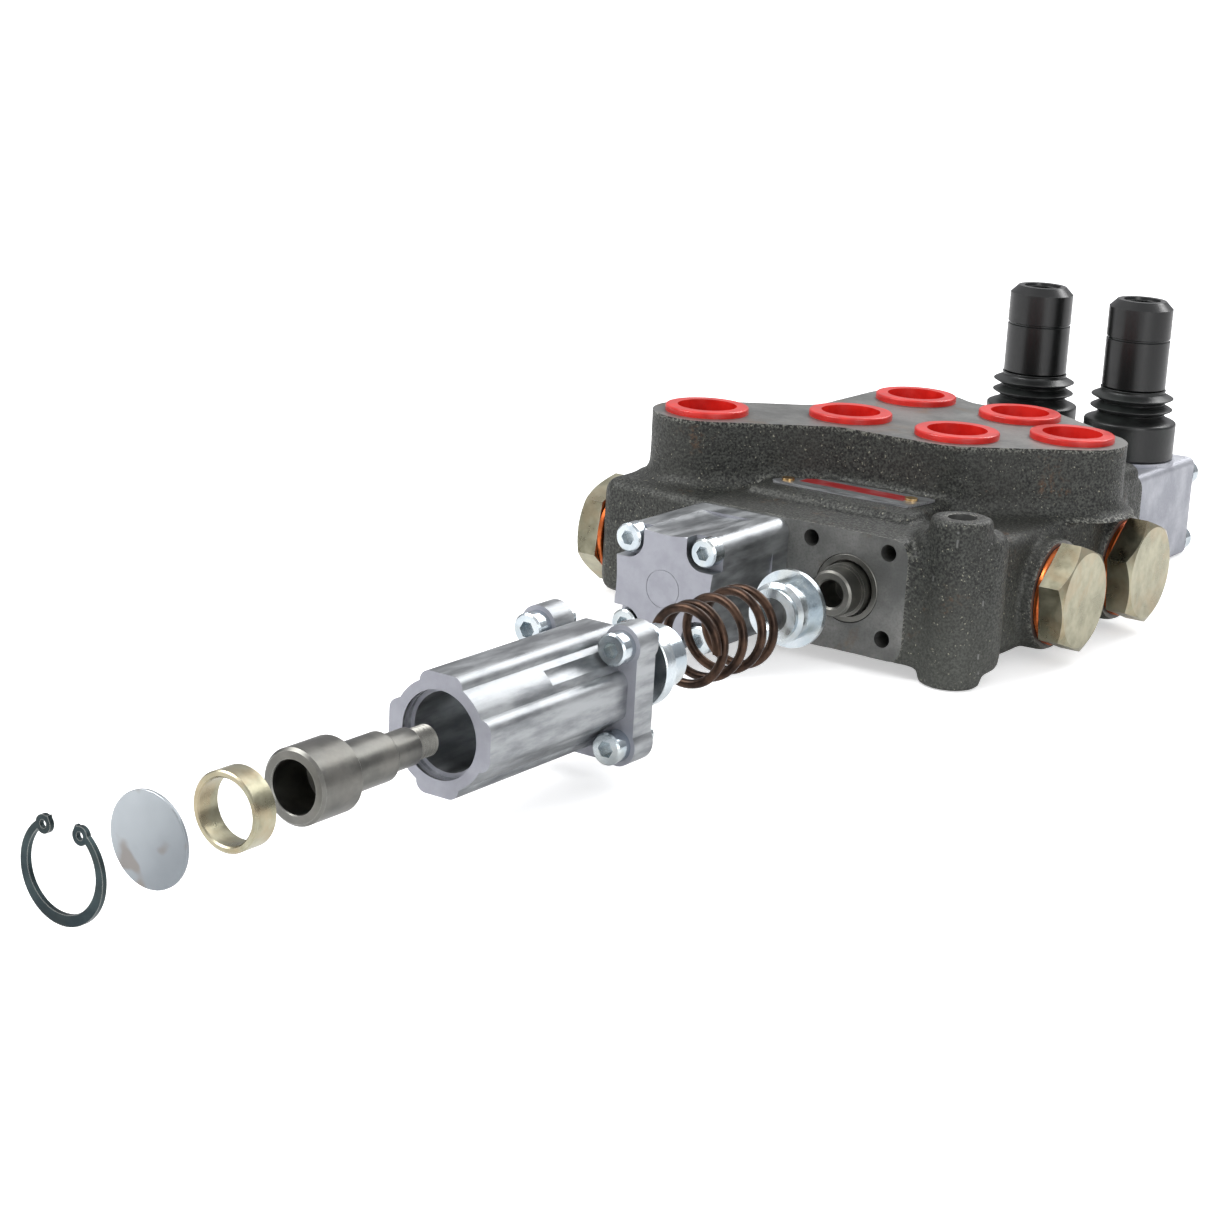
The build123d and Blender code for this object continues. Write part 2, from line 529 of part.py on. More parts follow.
def long_cap():
    """The drawn-out cap, in its assembled place: a four-eared flange and a fluted tube."""
    x = SPOOL_X[1]
    half = CAP_W / 2
    ear_r = half - SCREW_GRID + 1.6
    flange = cyl_y(29, forward(FLANGE_T), forward(0), x)
    for px, pz in screw_grid(x):
        flange += cyl_y(2 * ear_r, forward(FLANGE_T), forward(0), px, pz)
    front, back = forward(FLANGE_T), forward(0)
    flange += rounded_y(x - half - 0.8, x + half + 0.8, -SCREW_GRID, SCREW_GRID, front, back, 1)
    flange += block(x - SCREW_GRID, x + SCREW_GRID, forward(FLANGE_T), forward(0), -half - 0.8, half - 3.5)
    tube = cyl_y(2 * TUBE_R, forward(LONG_CAP_L), forward(0), x)
    for wide, tall in ((RIDGE_W / 2, RIDGE_R), (RIDGE_R, RIDGE_W / 2)):
        tube += rounded_y(x - wide, x + wide, -tall, tall, forward(LONG_CAP_L), back, 3)
    body = flange + tube
    for px, pz in screw_grid(x):
        body -= cyl_y(HEAD_D + 1.6, forward(LONG_CAP_L - 30), forward(FLANGE_T), px, pz)
        body -= cyl_y(SCREW_HOLE_D, forward(FLANGE_T + 1), forward(-1), px, pz)
    groove_front = CLIP_FRONT + 0.05
    groove_back = CLIP_FRONT - CLIP_T - 0.05
    body -= spring_chamber(x, forward(LONG_CAP_L + 1))
    body -= cyl_y(MOUTH_D, forward(LONG_CAP_L + 1), forward(groove_back - DISC_T - 0.1), x)
    return body - cyl_y(CLIP_GROOVE_D, forward(groove_front), forward(groove_back), x)


def stop_ring(x):
    """Plain ring that slides inside the long cap's tube."""
    front = CLIP_FRONT - CLIP_T - DISC_T - 0.2
    ring = cyl_y(RING_OD, forward(front), forward(front - RING_L), x)
    ring -= cyl_y(RING_ID, forward(front + 1), forward(0), x)
    return chamfer(ring.edges().filter_by(GeomType.CIRCLE), 0.35)


def cover_disc(x):
    """Flat disc that closes the long cap's mouth."""
    front = CLIP_FRONT - CLIP_T - 0.1
    disc = cyl_y(DISC_D, forward(front), forward(front - DISC_T), x)
    return fillet(disc.edges().filter_by(GeomType.CIRCLE), 0.25)


def circlip(x):
    """Tapering retaining ring with two lugs at the top."""
    outer = Circle(CLIP_OD / 2)
    inner = Pos(0, 0.55) * Circle(CLIP_OD / 2 - 2.0)
    gap = make_face(Polyline((0, 0), (-12 * sin(radians(24)), 14), (12 * sin(radians(24)), 14), close=True))
    plan = outer - inner - gap
    for side in (-1, 1):
        lug = Pos(side * 5.2, 8.9) * Circle(2.1)
        plan += lug
    plan -= [Pos(side * 5.2, 8.9) * Circle(0.9) for side in (-1, 1)]
    solid = extrude(plan, CLIP_T)
    return Pos(x, forward(CLIP_FRONT), 0) * Rot(90, 0, 0) * Pos(0, 0, -CLIP_T) * solid


# ---------------------------------------------------------------- side plugs and poppets
def hex_plug(side, face_x, y):
    """Hexagon-head plug facing along side * X."""
    washer = face_x + side * WASHER_T
    plan = RegularPolygon(HEX_AF / 2 / cos(pi / 6), 6, rotation=10)
    head = extrude(plan, HEX_H)
    on_top = (Align.CENTER, Align.CENTER, Align.MAX)
    crown = Pos(0, 0, HEX_H) * Cone(HEX_AF / 2 + 12, HEX_AF / 2 - 0.4, 7.2, align=on_top)
    head = head & (crown + cyl_z(2 * HEX_AF, -1, HEX_H - 7.2))
    turn = Rot(0, 90, 0) if side > 0 else Rot(0, -90, 0)
    body = Pos(washer, y, GALLERY_Z) * turn * head
    body += cyl_x(HEX_SHANK_D, washer, face_x - side * HEX_SHANK_L, y, GALLERY_Z)
    return body - cyl_x(10.5, face_x - side * (HEX_SHANK_L + 1), face_x - side * 3, y, GALLERY_Z)


def copper_washer(side, face_x, y):
    """Sealing washer under a hexagon plug's head."""
    washer = cyl_x(WASHER_D, face_x, face_x + side * WASHER_T, y, GALLERY_Z)
    washer -= cyl_x(HEX_SHANK_D + 0.2, face_x - 3, face_x + 3, y, GALLERY_Z)
    return fillet(washer.edges().filter_by(GeomType.CIRCLE), 0.5)


def poppet(y):
    """Guided poppet with a conical nose on its seat."""
    profile = [
        (0, 0.8), (POPPET_SEAT_D / 2 - 0.6, 0.8), (POPPET_BORE_D / 2 - 0.6, 3.4), (POPPET_D / 2, 3.6),
        (POPPET_D / 2, 13), (3.6, 13), (3.6, 5), (0, 5)]
    return Pos(SEAT_X, y, GALLERY_Z) * Rot(0, 0, -90) * revolve_y(profile)


def poppet_spring(y):
    """Small coil spring behind a poppet."""
    wire, mean_r, length = 1.0, 2.7, 16.0
    path = Helix(length / 6, length - wire, mean_r)
    coil = sweep(Plane(origin=path @ 0, z_dir=path % 0) * Circle(wire / 2), path=path, is_frenet=True)
    return Pos(SEAT_X + 5.1 + wire / 2, y, GALLERY_Z) * Rot(0, 90, 0) * coil


# ---------------------------------------------------------------- lever boxes and levers
def lever_box(x):
    """Aluminium housing bolted to the rear face; the lever leaves through its top."""
    half = BOX_W / 2
    rear = BODY_HALF + BOX_L
    body = rounded_y(x - half, x + half, BOX_Z[0], BOX_Z[1], BODY_HALF, rear, 2.5)
    lobe = cyl_y(20, rear - 1, rear + 5, x, sum(BOX_SCREW_Z) / 2)
    body += fillet(lobe.edges().sort_by(Axis.Y)[-1], 1.5)
    body += cyl_z(BOOT_BASE_D + 1, BOX_Z[1] - 1, BOX_Z[1] + 1.2, x, LEVER_Y)
    body -= cyl_y(BOX_BORE_D, BODY_HALF - 1, LEVER_Y + 16, x)
    reach = 13.6
    body -= block(x - 6, x + 6, LEVER_Y - reach, LEVER_Y + reach, PIVOT_Z - 6.5, BOX_Z[1] + 3)
    body -= cyl_x(PIVOT_D, x - 9.8, x + 9.8, LEVER_Y, PIVOT_Z)
    for z in BOX_SCREW_Z:
        for side in (-1, 1):
            body -= cyl_y(SCREW_HOLE_D, BODY_HALF - 1, rear + 6, x + side * SCREW_GRID, z)
    return body


def box_screws():
    """The eight long screws that hold both lever boxes."""
    rear = BODY_HALF + BOX_L
    screws = []
    for x in SPOOL_X:
        for side in (-1, 1):
            for z in BOX_SCREW_Z:
                screw = socket_screw(0, 0, 0, BOX_L + 9)
                screws.append(Pos(x + side * SCREW_GRID, rear + HEAD_H, z) * Rot(0, 0, 180) * screw)
    return Compound(children=screws)


def lever(x):
    """Lever rod with its pivot eye and the ball that sits in the spool's tail."""
    eye = cyl_x(11, x - 5.7, x + 5.7, LEVER_Y, PIVOT_Z)
    rod = cyl_z(SHANK_D, PIVOT_Z, SHANK_TOP + 1, x, LEVER_Y)
    rod += cyl_z(ROD_D, ROD_BOTTOM, SLEEVE_Z[0] + 10, x, LEVER_Y)
    taper = [(0, SHANK_TOP), (SHANK_D / 2, SHANK_TOP), (ROD_D / 2, ROD_BOTTOM), (0, ROD_BOTTOM)]
    rod += revolve_z(taper, x, LEVER_Y)
    ball = Pos(x, LEVER_Y, 0) * Sphere(BALL_D / 2)
    return eye + rod + ball - cyl_x(PIVOT_D + 0.08, x - 7, x + 7, LEVER_Y, PIVOT_Z)


def pivot_pins():
    """Pins that the two levers swing on."""
    return Compound(children=[cyl_x(PIVOT_D - 0.02, x - 9.7, x + 9.7, LEVER_Y, PIVOT_Z) for x in SPOOL_X])


def lever_sleeve(x):
    """Round sleeve on the lever, tapped on top for the handle."""
    z0, z1 = SLEEVE_Z
    r = SLEEVE_D / 2
    hole = SLEEVE_HOLE_D / 2
    return revolve_z([
        (ROD_D / 2 + 0.02, z0), (r - 0.6, z0), (r, z0 + 0.6), (r, z0 + 17), (r - 0.5, z0 + 17.3),
        (r - 0.5, z0 + 17.7), (r, z0 + 18), (r, z1 - 2.6), (r - 2.6, z1), (hole + 2.2, z1),
        (hole + 2.0, z1 - 0.9), (hole, z1 - 0.9), (hole, z1 - 0.9 - SLEEVE_HOLE_L),
        (0, z1 - 1.9 - SLEEVE_HOLE_L), (0, z0 + 10.1), (ROD_D / 2 + 0.02, z0 + 10.1)], x, LEVER_Y)


def lever_boot(x):
    """Rubber bellows between the box top and the sleeve."""
    z0 = BOX_Z[1] + 1.25
    z1 = z0 + BOOT_BASE_H - 5.4
    base = BOOT_BASE_D / 2
    wall = 1.6
    outside = [
        (base, z0), (base, z1), (11.6, z1 + 3.4), (11.2, z1 + 4.4), (14.2, z1 + 6.4), (11.2, z1 + 8.6),
        (14.2, z1 + 10.6), (11.2, z1 + 12.2)]
    inside = [(SLEEVE_D / 2 - wall, z1 + 12.2)]
    inside += [(r - wall, z) for r, z in reversed(outside[1:-1])] + [(base - wall, z0)]
    return revolve_z(outside + inside, x, LEVER_Y)


def drawn(shape, piece):
    """A loose piece, drawn out along -Y from its assembled place."""
    return Pos(0, -DRAWN[piece], 0) * shape


def build():
    """All the sub-parts by node name."""
    x1, x2 = SPOOL_X
    nodes = {"valve_body": machined_body(), "nameplate": nameplate(), "nameplate_rivets": nameplate_rivets()}
    for name, (x, y) in PORTS.items():
        nodes[f"port_plug_{name}"] = port_plug(x, y)
    nodes["spool_1"] = spool(x1)
    nodes["spool_2"] = spool(x2)
    nodes["front_seal_rings"] = seal_rings(-1)
    nodes["rear_seal_rings"] = seal_rings(1)
    nodes["front_orings"] = spool_orings(-1)
    nodes["rear_orings"] = spool_orings(1)
    nodes["inner_seat_1"] = Pos(0, -STROKE, 0) * inner_seat(x1)
    nodes["outer_seat_1"] = outer_seat(x1)
    spring_back = forward(STROKE + INNER_FLANGE_T + 0.1)
    nodes["spring_1"] = coil_spring(x1, spring_back, SPRING_FITTED, SPRING_TURNS)
    nodes["shoulder_bolt_1"] = shoulder_bolt(x1)
    nodes["short_end_cap"] = short_cap()
    nodes["short_cap_screws"] = cap_screws(x1, SHORT_CAP_BASE, SHORT_CAP_BASE + 10)
    nodes["inner_spring_seat"] = drawn(inner_seat(x2), "inner_seat")
    free_spring = coil_spring(x2, forward(INNER_FLANGE_T + 0.1), SPRING_FREE, SPRING_TURNS)
    nodes["centring_spring"] = drawn(free_spring, "spring")
    nodes["outer_spring_seat"] = drawn(outer_seat(x2), "outer_seat")
    nodes["long_end_cap"] = drawn(long_cap(), "cap")
    nodes["long_cap_screws"] = drawn(cap_screws(x2, FLANGE_T, 14), "cap")
    nodes["detent_stem"] = drawn(stem(x2), "stem")
    nodes["stop_ring"] = drawn(stop_ring(x2), "stop_ring")
    nodes["cover_disc"] = drawn(cover_disc(x2), "cover_disc")
    nodes["circlip"] = drawn(circlip(x2), "circlip")
    for name, y in zip(("relief", "check"), RIGHT_PLUG_Y):
        nodes[f"{name}_plug"] = hex_plug(1, RIGHT_FACE_X, y)
        nodes[f"{name}_poppet"] = poppet(y)
        nodes[f"{name}_spring"] = poppet_spring(y)
    nodes["tank_plug"] = hex_plug(-1, LEFT_FACE_X, LEFT_PLUG_Y)
    washers = [copper_washer(1, RIGHT_FACE_X, y) for y in RIGHT_PLUG_Y]
    washers.append(copper_washer(-1, LEFT_FACE_X, LEFT_PLUG_Y))
    nodes["copper_washers"] = Compound(children=washers)
    for number, x in enumerate(SPOOL_X, 1):
        nodes[f"lever_box_{number}"] = lever_box(x)
        nodes[f"lever_{number}"] = lever(x)
        nodes[f"lever_sleeve_{number}"] = lever_sleeve(x)
        nodes[f"lever_boot_{number}"] = lever_boot(x)
    nodes["lever_box_screws"] = box_screws()
    nodes["lever_pivot_pins"] = pivot_pins()
    return nodes


if __name__ == "__main__":
    os.makedirs("parts", exist_ok=True)
    for node, shape in build().items():
        write(node, shape)
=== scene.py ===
import json
import math

import bmesh
import bpy
from mathutils import Matrix, Vector


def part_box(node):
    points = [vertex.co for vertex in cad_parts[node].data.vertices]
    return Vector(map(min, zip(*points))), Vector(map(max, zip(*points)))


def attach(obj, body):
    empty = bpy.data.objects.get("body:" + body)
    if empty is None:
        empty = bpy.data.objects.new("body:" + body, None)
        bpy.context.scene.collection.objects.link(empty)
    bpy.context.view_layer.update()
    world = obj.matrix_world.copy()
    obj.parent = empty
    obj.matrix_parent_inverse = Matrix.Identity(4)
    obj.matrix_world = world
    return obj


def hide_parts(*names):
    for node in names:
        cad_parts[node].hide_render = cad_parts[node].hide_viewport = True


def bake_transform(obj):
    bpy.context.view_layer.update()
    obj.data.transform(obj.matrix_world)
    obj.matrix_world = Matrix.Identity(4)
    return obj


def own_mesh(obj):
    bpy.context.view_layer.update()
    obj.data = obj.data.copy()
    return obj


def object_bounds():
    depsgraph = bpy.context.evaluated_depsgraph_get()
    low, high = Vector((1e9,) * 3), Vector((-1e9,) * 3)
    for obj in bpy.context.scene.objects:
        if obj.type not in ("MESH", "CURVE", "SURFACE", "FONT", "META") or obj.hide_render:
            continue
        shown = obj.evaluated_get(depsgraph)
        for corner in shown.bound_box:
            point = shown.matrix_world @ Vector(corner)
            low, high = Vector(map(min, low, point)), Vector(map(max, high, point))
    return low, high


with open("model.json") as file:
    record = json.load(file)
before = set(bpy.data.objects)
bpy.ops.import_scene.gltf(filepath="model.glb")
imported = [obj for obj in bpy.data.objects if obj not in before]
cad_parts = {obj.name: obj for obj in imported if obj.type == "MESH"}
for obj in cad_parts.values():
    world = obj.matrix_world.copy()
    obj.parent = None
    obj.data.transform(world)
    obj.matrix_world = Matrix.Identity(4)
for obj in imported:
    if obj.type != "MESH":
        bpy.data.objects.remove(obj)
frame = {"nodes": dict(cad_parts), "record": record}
CAD_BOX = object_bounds()
NODES = frame["nodes"]
MM = 0.001
EDGE_SHARP = math.radians(32)


# ---------------------------------------------------------------- places read from the frame
def middle(node):
    """The middle of a CAD node's box at rest."""
    low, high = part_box(node)
    return (low + high) / 2


SPOOL_X = [middle("spool_1").x, middle("spool_2").x]
PORTS = {name: middle(f"port_plug_{name}") for name in ("t", "a1", "b1", "a2", "b2", "p")}
PORT_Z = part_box("port_plug_t")[1].z - 2.0 * MM
REAR_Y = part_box("valve_body")[1].y
FOOT_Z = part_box("valve_body")[0].z
BODY_CENTRE = Vector((sum(SPOOL_X) / 2, (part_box("short_end_cap")[1].y + REAR_Y) / 2, 0))
BOX_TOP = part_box("lever_box_1")[1].z
SLEEVE_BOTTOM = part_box("lever_sleeve_1")[0].z


# ---------------------------------------------------------------- colours and shader graphs
def rgb(red, green, blue):
    """A linear colour from display values of 0 to 255."""
    def linear(value):
        value /= 255
        return value / 12.92 if value <= 0.04045 else ((value + 0.055) / 1.055) ** 2.4
    return (linear(red), linear(green), linear(blue), 1)


class Graph:
    """A node material with one Principled surface, and short calls for the nodes that feed it."""

    def __init__(self, name):
        self.material = bpy.data.materials.new(name)
        self.material.use_nodes = True
        self.tree = self.material.node_tree
        self.tree.nodes.clear()
        output = self.add("ShaderNodeOutputMaterial")
        self.surface = self.add("ShaderNodeBsdfPrincipled")
        self.link(self.surface.outputs["BSDF"], output.inputs["Surface"])
        self.place = self.add("ShaderNodeTexCoord").outputs["Object"]
        self.normal = self.add("ShaderNodeNewGeometry").outputs["Normal"]

    def add(self, kind, **settings):
        node = self.tree.nodes.new(kind)
        for key, value in settings.items():
            setattr(node, key, value)
        return node

    def link(self, output, socket):
        self.tree.links.new(output, socket)

    def feed(self, socket, value):
        """Sets a socket to a number or colour, or links an output to it."""
        if isinstance(value, bpy.types.NodeSocket):
            self.link(value, socket)
        else:
            socket.default_value = value

    def set(self, **values):
        """Feeds the Principled surface; underscores stand for spaces."""
        for key, value in values.items():
            self.feed(self.surface.inputs[key.replace("_", " ")], value)

    def stretched(self, sx, sy, sz):
        """The place, scaled by a factor on each axis, for streaks and brushed grain."""
        node = self.add("ShaderNodeVectorMath", operation="MULTIPLY")
        self.feed(node.inputs[0], self.place)
        node.inputs[1].default_value = (sx, sy, sz)
        return node.outputs["Vector"]

    def noise(self, size, detail=3.0, rough=0.55, place=None, distortion=0.0):
        """Noise whose lumps are about this many metres across."""
        node = self.add("ShaderNodeTexNoise")
        self.feed(node.inputs["Vector"], place or self.place)
        node.inputs["Scale"].default_value = 0.5 / size
        node.inputs["Detail"].default_value = detail
        node.inputs["Roughness"].default_value = rough
        node.inputs["Distortion"].default_value = distortion
        return node.outputs["Fac"]

    def ramp(self, value, low, high, start=0.0, end=1.0):
        """value mapped from low..high to start..end, held outside."""
        node = self.add("ShaderNodeMapRange", clamp=True, interpolation_type="SMOOTHSTEP")
        self.feed(node.inputs["Value"], value)
        node.inputs["From Min"].default_value = low
        node.inputs["From Max"].default_value = high
        node.inputs["To Min"].default_value = start
        node.inputs["To Max"].default_value = end
        return node.outputs["Result"]

    def mix(self, factor, first, second, blend="MIX"):
        node = self.add("ShaderNodeMix", data_type="RGBA", blend_type=blend)
        self.feed(node.inputs["Factor"], factor)
        self.feed(node.inputs[6], first)
        self.feed(node.inputs[7], second)
        return node.outputs[2]

    def between(self, factor, first, second):
        """The number between first and second at this factor."""
        node = self.add("ShaderNodeMix", data_type="FLOAT")
        self.feed(node.inputs["Factor"], factor)
        self.feed(node.inputs[2], first)
        self.feed(node.inputs[3], second)
        return node.outputs[0]

    def maths(self, operation, first, second=0.0):
        node = self.add("ShaderNodeMath", operation=operation)
        self.feed(node.inputs[0], first)
        self.feed(node.inputs[1], second)
        return node.outputs[0]

    def axis(self, vector, letter):
        node = self.add("ShaderNodeSeparateXYZ")
        self.link(vector, node.inputs[0])
        return node.outputs[letter]

    def bump(self, height, depth, below=None):
        """A bump this many metres deep, on top of another bump if given."""
        node = self.add("ShaderNodeBump")
        self.feed(node.inputs["Height"], height)
        node.inputs["Distance"].default_value = depth
        if below:
            self.link(below, node.inputs["Normal"])
        self.link(node.outputs["Normal"], self.surface.inputs["Normal"])
        return node.outputs["Normal"]

    def edges(self, radius, low=0.02, high=0.25):
        """1 on outside and inside corners, 0 on open faces."""
        bevel = self.add("ShaderNodeBevel", samples=4)
        bevel.inputs["Radius"].default_value = radius
        dot = self.add("ShaderNodeVectorMath", operation="DOT_PRODUCT")
        self.link(bevel.outputs["Normal"], dot.inputs[0])
        self.link(self.normal, dot.inputs[1])
        return self.ramp(self.maths("SUBTRACT", 1.0, dot.outputs["Value"]), low, high)


# ---------------------------------------------------------------- materials
def cast_iron():
    """Sand-cast iron: dark grey-green grain with bright specks, rust-brown stains and rubbed ridges."""
    g = Graph("cast_iron")
    grain = g.noise(0.36 * MM, 3, 0.6)
    lumps = g.noise(1.6 * MM, 3, 0.6)
    patches = g.noise(14 * MM, 4, 0.6)
    colour = g.mix(g.ramp(grain, 0.35, 0.68), rgb(18, 19, 18), rgb(68, 70, 65))
    colour = g.mix(g.ramp(patches, 0.42, 0.66, 0, 0.4), colour, rgb(48, 48, 44))
    low = g.ramp(g.axis(g.place, "Z"), FOOT_Z, 16 * MM, 0.35, 0)
    colour = g.mix(low, colour, rgb(90, 92, 86))
    rusty = g.ramp(g.noise(9 * MM, 5, 0.65), 0.56, 0.7)
    rust = g.maths("MULTIPLY", rusty, g.ramp(g.noise(0.9 * MM), 0.48, 0.62))
    colour = g.mix(g.maths("MULTIPLY", rust, 0.55), colour, rgb(96, 68, 44))
    rubbed = g.edges(3.2 * MM, 0.02, 0.20)
    specks = g.maths("MULTIPLY", rubbed, g.ramp(grain, 0.46, 0.62))
    colour = g.mix(g.maths("MULTIPLY", specks, 0.7), colour, rgb(168, 168, 158))
    stars = g.ramp(g.noise(0.4 * MM, 1, 0.4), 0.70, 0.78)
    colour = g.mix(g.maths("MULTIPLY", stars, 0.6), colour, rgb(170, 168, 150))
    rough = g.ramp(grain, 0.3, 0.7, 0.62, 0.42)
    g.set(Base_Color=colour, Metallic=0.25, Roughness=rough, Specular_IOR_Level=0.5)
    g.bump(grain, 0.22 * MM, g.bump(lumps, 0.4 * MM))
    return g.material


def machined_iron():
    """Milled faces of the casting: mid grey with fine cutter marks and oily brown blooms."""
    g = Graph("machined_iron")
    marks = g.noise(0.25 * MM, 2, 0.5, g.stretched(1, 0.06, 1))
    fine = g.noise(0.35 * MM, 3, 0.6)
    cloud = g.noise(10 * MM, 4, 0.6)
    colour = g.mix(g.ramp(cloud, 0.35, 0.7), rgb(104, 105, 103), rgb(142, 142, 139))
    colour = g.mix(g.ramp(fine, 0.4, 0.7, 0, 0.35), colour, rgb(90, 90, 88))
    bloom = g.ramp(g.noise(7 * MM, 5, 0.6, None, 0.6), 0.55, 0.72, 0, 0.45)
    colour = g.mix(bloom, colour, rgb(116, 92, 62))
    g.set(Base_Color=colour, Metallic=0.75, Roughness=g.ramp(cloud, 0.3, 0.7, 0.48, 0.36))
    g.bump(marks, 0.02 * MM, g.bump(fine, 0.03 * MM))
    return g.material


def red_plastic():
    """Moulded transit plugs: glossy red flange, with painted shade making them darker red lower down, inside
    the port.
    """
    g = Graph("red_plastic")
    mottle = g.noise(3 * MM, 3, 0.5)
    colour = g.mix(g.ramp(mottle, 0.35, 0.65), rgb(190, 26, 18), rgb(208, 36, 27))
    # painted shade: below the port face the red is mixed towards a darker red
    depth = g.ramp(g.axis(g.place, "Z"), PORT_Z - 6 * MM, PORT_Z + 1.2 * MM)
    colour = g.mix(depth, g.mix(0.45, colour, rgb(140, 10, 6)), colour)
    scuff = g.maths("MULTIPLY", g.edges(0.6 * MM), g.ramp(g.noise(2 * MM), 0.45, 0.65))
    colour = g.mix(g.maths("MULTIPLY", scuff, 0.5), colour, rgb(240, 120, 96))
    g.set(Base_Color=colour, Roughness=g.ramp(mottle, 0.3, 0.7, 0.30, 0.42), Subsurface_Weight=0.02,
          Subsurface_Radius=(0.002, 0.0006, 0.0004), Coat_Weight=0.15, Coat_Roughness=0.2)
    g.bump(g.noise(0.8 * MM), 0.02 * MM)
    return g.material


def plated(name, low, high, tint, tint_amount, roughness, grain_place=(1, 1, 1)):
    """Plated or ground steel: cloudy plating, fine grain, brighter rubbed edges."""
    g = Graph(name)
    cloud = g.noise(4 * MM, 4, 0.6)
    grain = g.noise(0.18 * MM, 2, 0.5, g.stretched(*grain_place))
    colour = g.mix(g.ramp(cloud, 0.35, 0.68), low, high)
    wash = g.ramp(g.noise(6 * MM, 4, 0.6, None, 0.8), 0.46, 0.66, 0, tint_amount)
    colour = g.mix(wash, colour, tint)
    colour = g.mix(g.maths("MULTIPLY", g.edges(0.4 * MM, 0.03, 0.3), 0.35), colour, rgb(235, 235, 228))
    rough = g.ramp(cloud, 0.3, 0.7, roughness - 0.05, roughness + 0.08)
    g.set(Base_Color=colour, Metallic=1.0, Roughness=rough)
    g.bump(grain, 0.012 * MM, g.bump(g.noise(1.5 * MM), 0.02 * MM))
    return g.material


def die_cast():
    """Die-cast aluminium: tumbled to a soft shine, with flow marks along the piece and darker cloudy
    patches.
    """
    g = Graph("die_cast")
    flow = g.noise(2.2 * MM, 4, 0.6, g.stretched(1, 0.22, 1))
    cloud = g.noise(9 * MM, 3, 0.55)
    colour = g.mix(g.ramp(flow, 0.32, 0.68), rgb(126, 129, 132), rgb(176, 179, 181))
    colour = g.mix(g.ramp(cloud, 0.5, 0.75, 0, 0.35), colour, rgb(108, 111, 114))
    face = g.ramp(g.maths("MULTIPLY", g.axis(g.normal, "Y"), -1.0), 0.8, 0.95)
    colour = g.mix(g.maths("MULTIPLY", face, 0.8), colour, rgb(166, 167, 176))
    rough = g.between(face, g.ramp(flow, 0.3, 0.7, 0.34, 0.48), 0.6)
    g.set(Base_Color=colour, Metallic=g.between(face, 0.9, 0.65), Roughness=rough)
    g.bump(flow, 0.10 * MM, g.bump(g.noise(0.5 * MM, 2), 0.02 * MM))
    return g.material


def sand_cast_aluminium():
    """Lever boxes: blasted grey aluminium with dark pits along the edges."""
    g = Graph("sand_cast_aluminium")
    cloud = g.noise(8 * MM, 4, 0.6)
    fine = g.noise(0.4 * MM, 3, 0.6)
    colour = g.mix(g.ramp(cloud, 0.35, 0.68), rgb(158, 160, 168), rgb(186, 188, 194))
    pits = g.maths("MULTIPLY", g.edges(1.6 * MM), g.ramp(g.noise(1.1 * MM), 0.58, 0.66))
    colour = g.mix(g.maths("MULTIPLY", pits, 0.8), colour, rgb(70, 60, 52))
    g.set(Base_Color=colour, Metallic=0.75, Roughness=g.ramp(fine, 0.3, 0.7, 0.42, 0.58))
    g.bump(fine, 0.06 * MM, g.bump(cloud, 0.12 * MM))
    return g.material


def black_rubber():
    """Moulded boots: near black with a faint bloom and mould grain."""
    g = Graph("black_rubber")
    bloom = g.noise(5 * MM, 4, 0.6)
    colour = g.mix(g.ramp(bloom, 0.4, 0.7), rgb(22, 23, 23), rgb(34, 38, 36))
    g.set(Base_Color=colour, Roughness=g.ramp(bloom, 0.3, 0.7, 0.30, 0.44), Specular_IOR_Level=0.5)
    g.bump(g.noise(0.5 * MM), 0.02 * MM, g.bump(bloom, 0.08 * MM))
    return g.material


def black_sleeve():
    """Hard black sleeves: smooth, with turning marks and a few pale scratches."""
    g = Graph("black_sleeve")
    rings = g.noise(0.3 * MM, 2, 0.5, g.stretched(0.05, 0.05, 1))
    scratch = g.ramp(g.noise(0.7 * MM, 2, 0.5, g.stretched(1, 1, 0.25)), 0.71, 0.76)
    near = g.ramp(g.noise(8 * MM), 0.52, 0.62)
    scratched = g.maths("MULTIPLY", g.maths("MULTIPLY", scratch, near), 0.6)
    colour = g.mix(scratched, rgb(12, 13, 13), rgb(96, 112, 110))
    colour = g.mix(g.maths("MULTIPLY", g.edges(0.5 * MM), 0.25), colour, rgb(70, 80, 78))
    rough = g.ramp(rings, 0.3, 0.7, 0.28, 0.34)
    g.set(Base_Color=colour, Roughness=rough, Coat_Weight=0.1, Coat_Roughness=0.25)
    g.bump(rings, 0.003 * MM)
    return g.material


def copper():
    """Sealing washers: bright squeezed copper with darker tarnish."""
    g = Graph("copper")
    cloud = g.noise(3 * MM, 4, 0.6)
    colour = g.mix(g.ramp(cloud, 0.38, 0.66), rgb(206, 112, 62), rgb(168, 78, 40))
    g.set(Base_Color=colour, Metallic=1.0, Roughness=g.ramp(cloud, 0.3, 0.7, 0.26, 0.42))
    g.bump(g.noise(0.4 * MM), 0.02 * MM)
    return g.material


def spring_wire():
    """Tempered wire: bronze brown, lighter and darker in cloudy patches."""
    g = Graph("spring_wire")
    cloud = g.noise(3 * MM, 4, 0.6)
    colour = g.mix(g.ramp(cloud, 0.35, 0.68), rgb(46, 35, 29), rgb(82, 62, 50))
    g.set(Base_Color=colour, Metallic=0.85, Roughness=g.ramp(cloud, 0.3, 0.7, 0.28, 0.42))
    g.bump(g.noise(0.4 * MM, 3), 0.03 * MM)
    return g.material


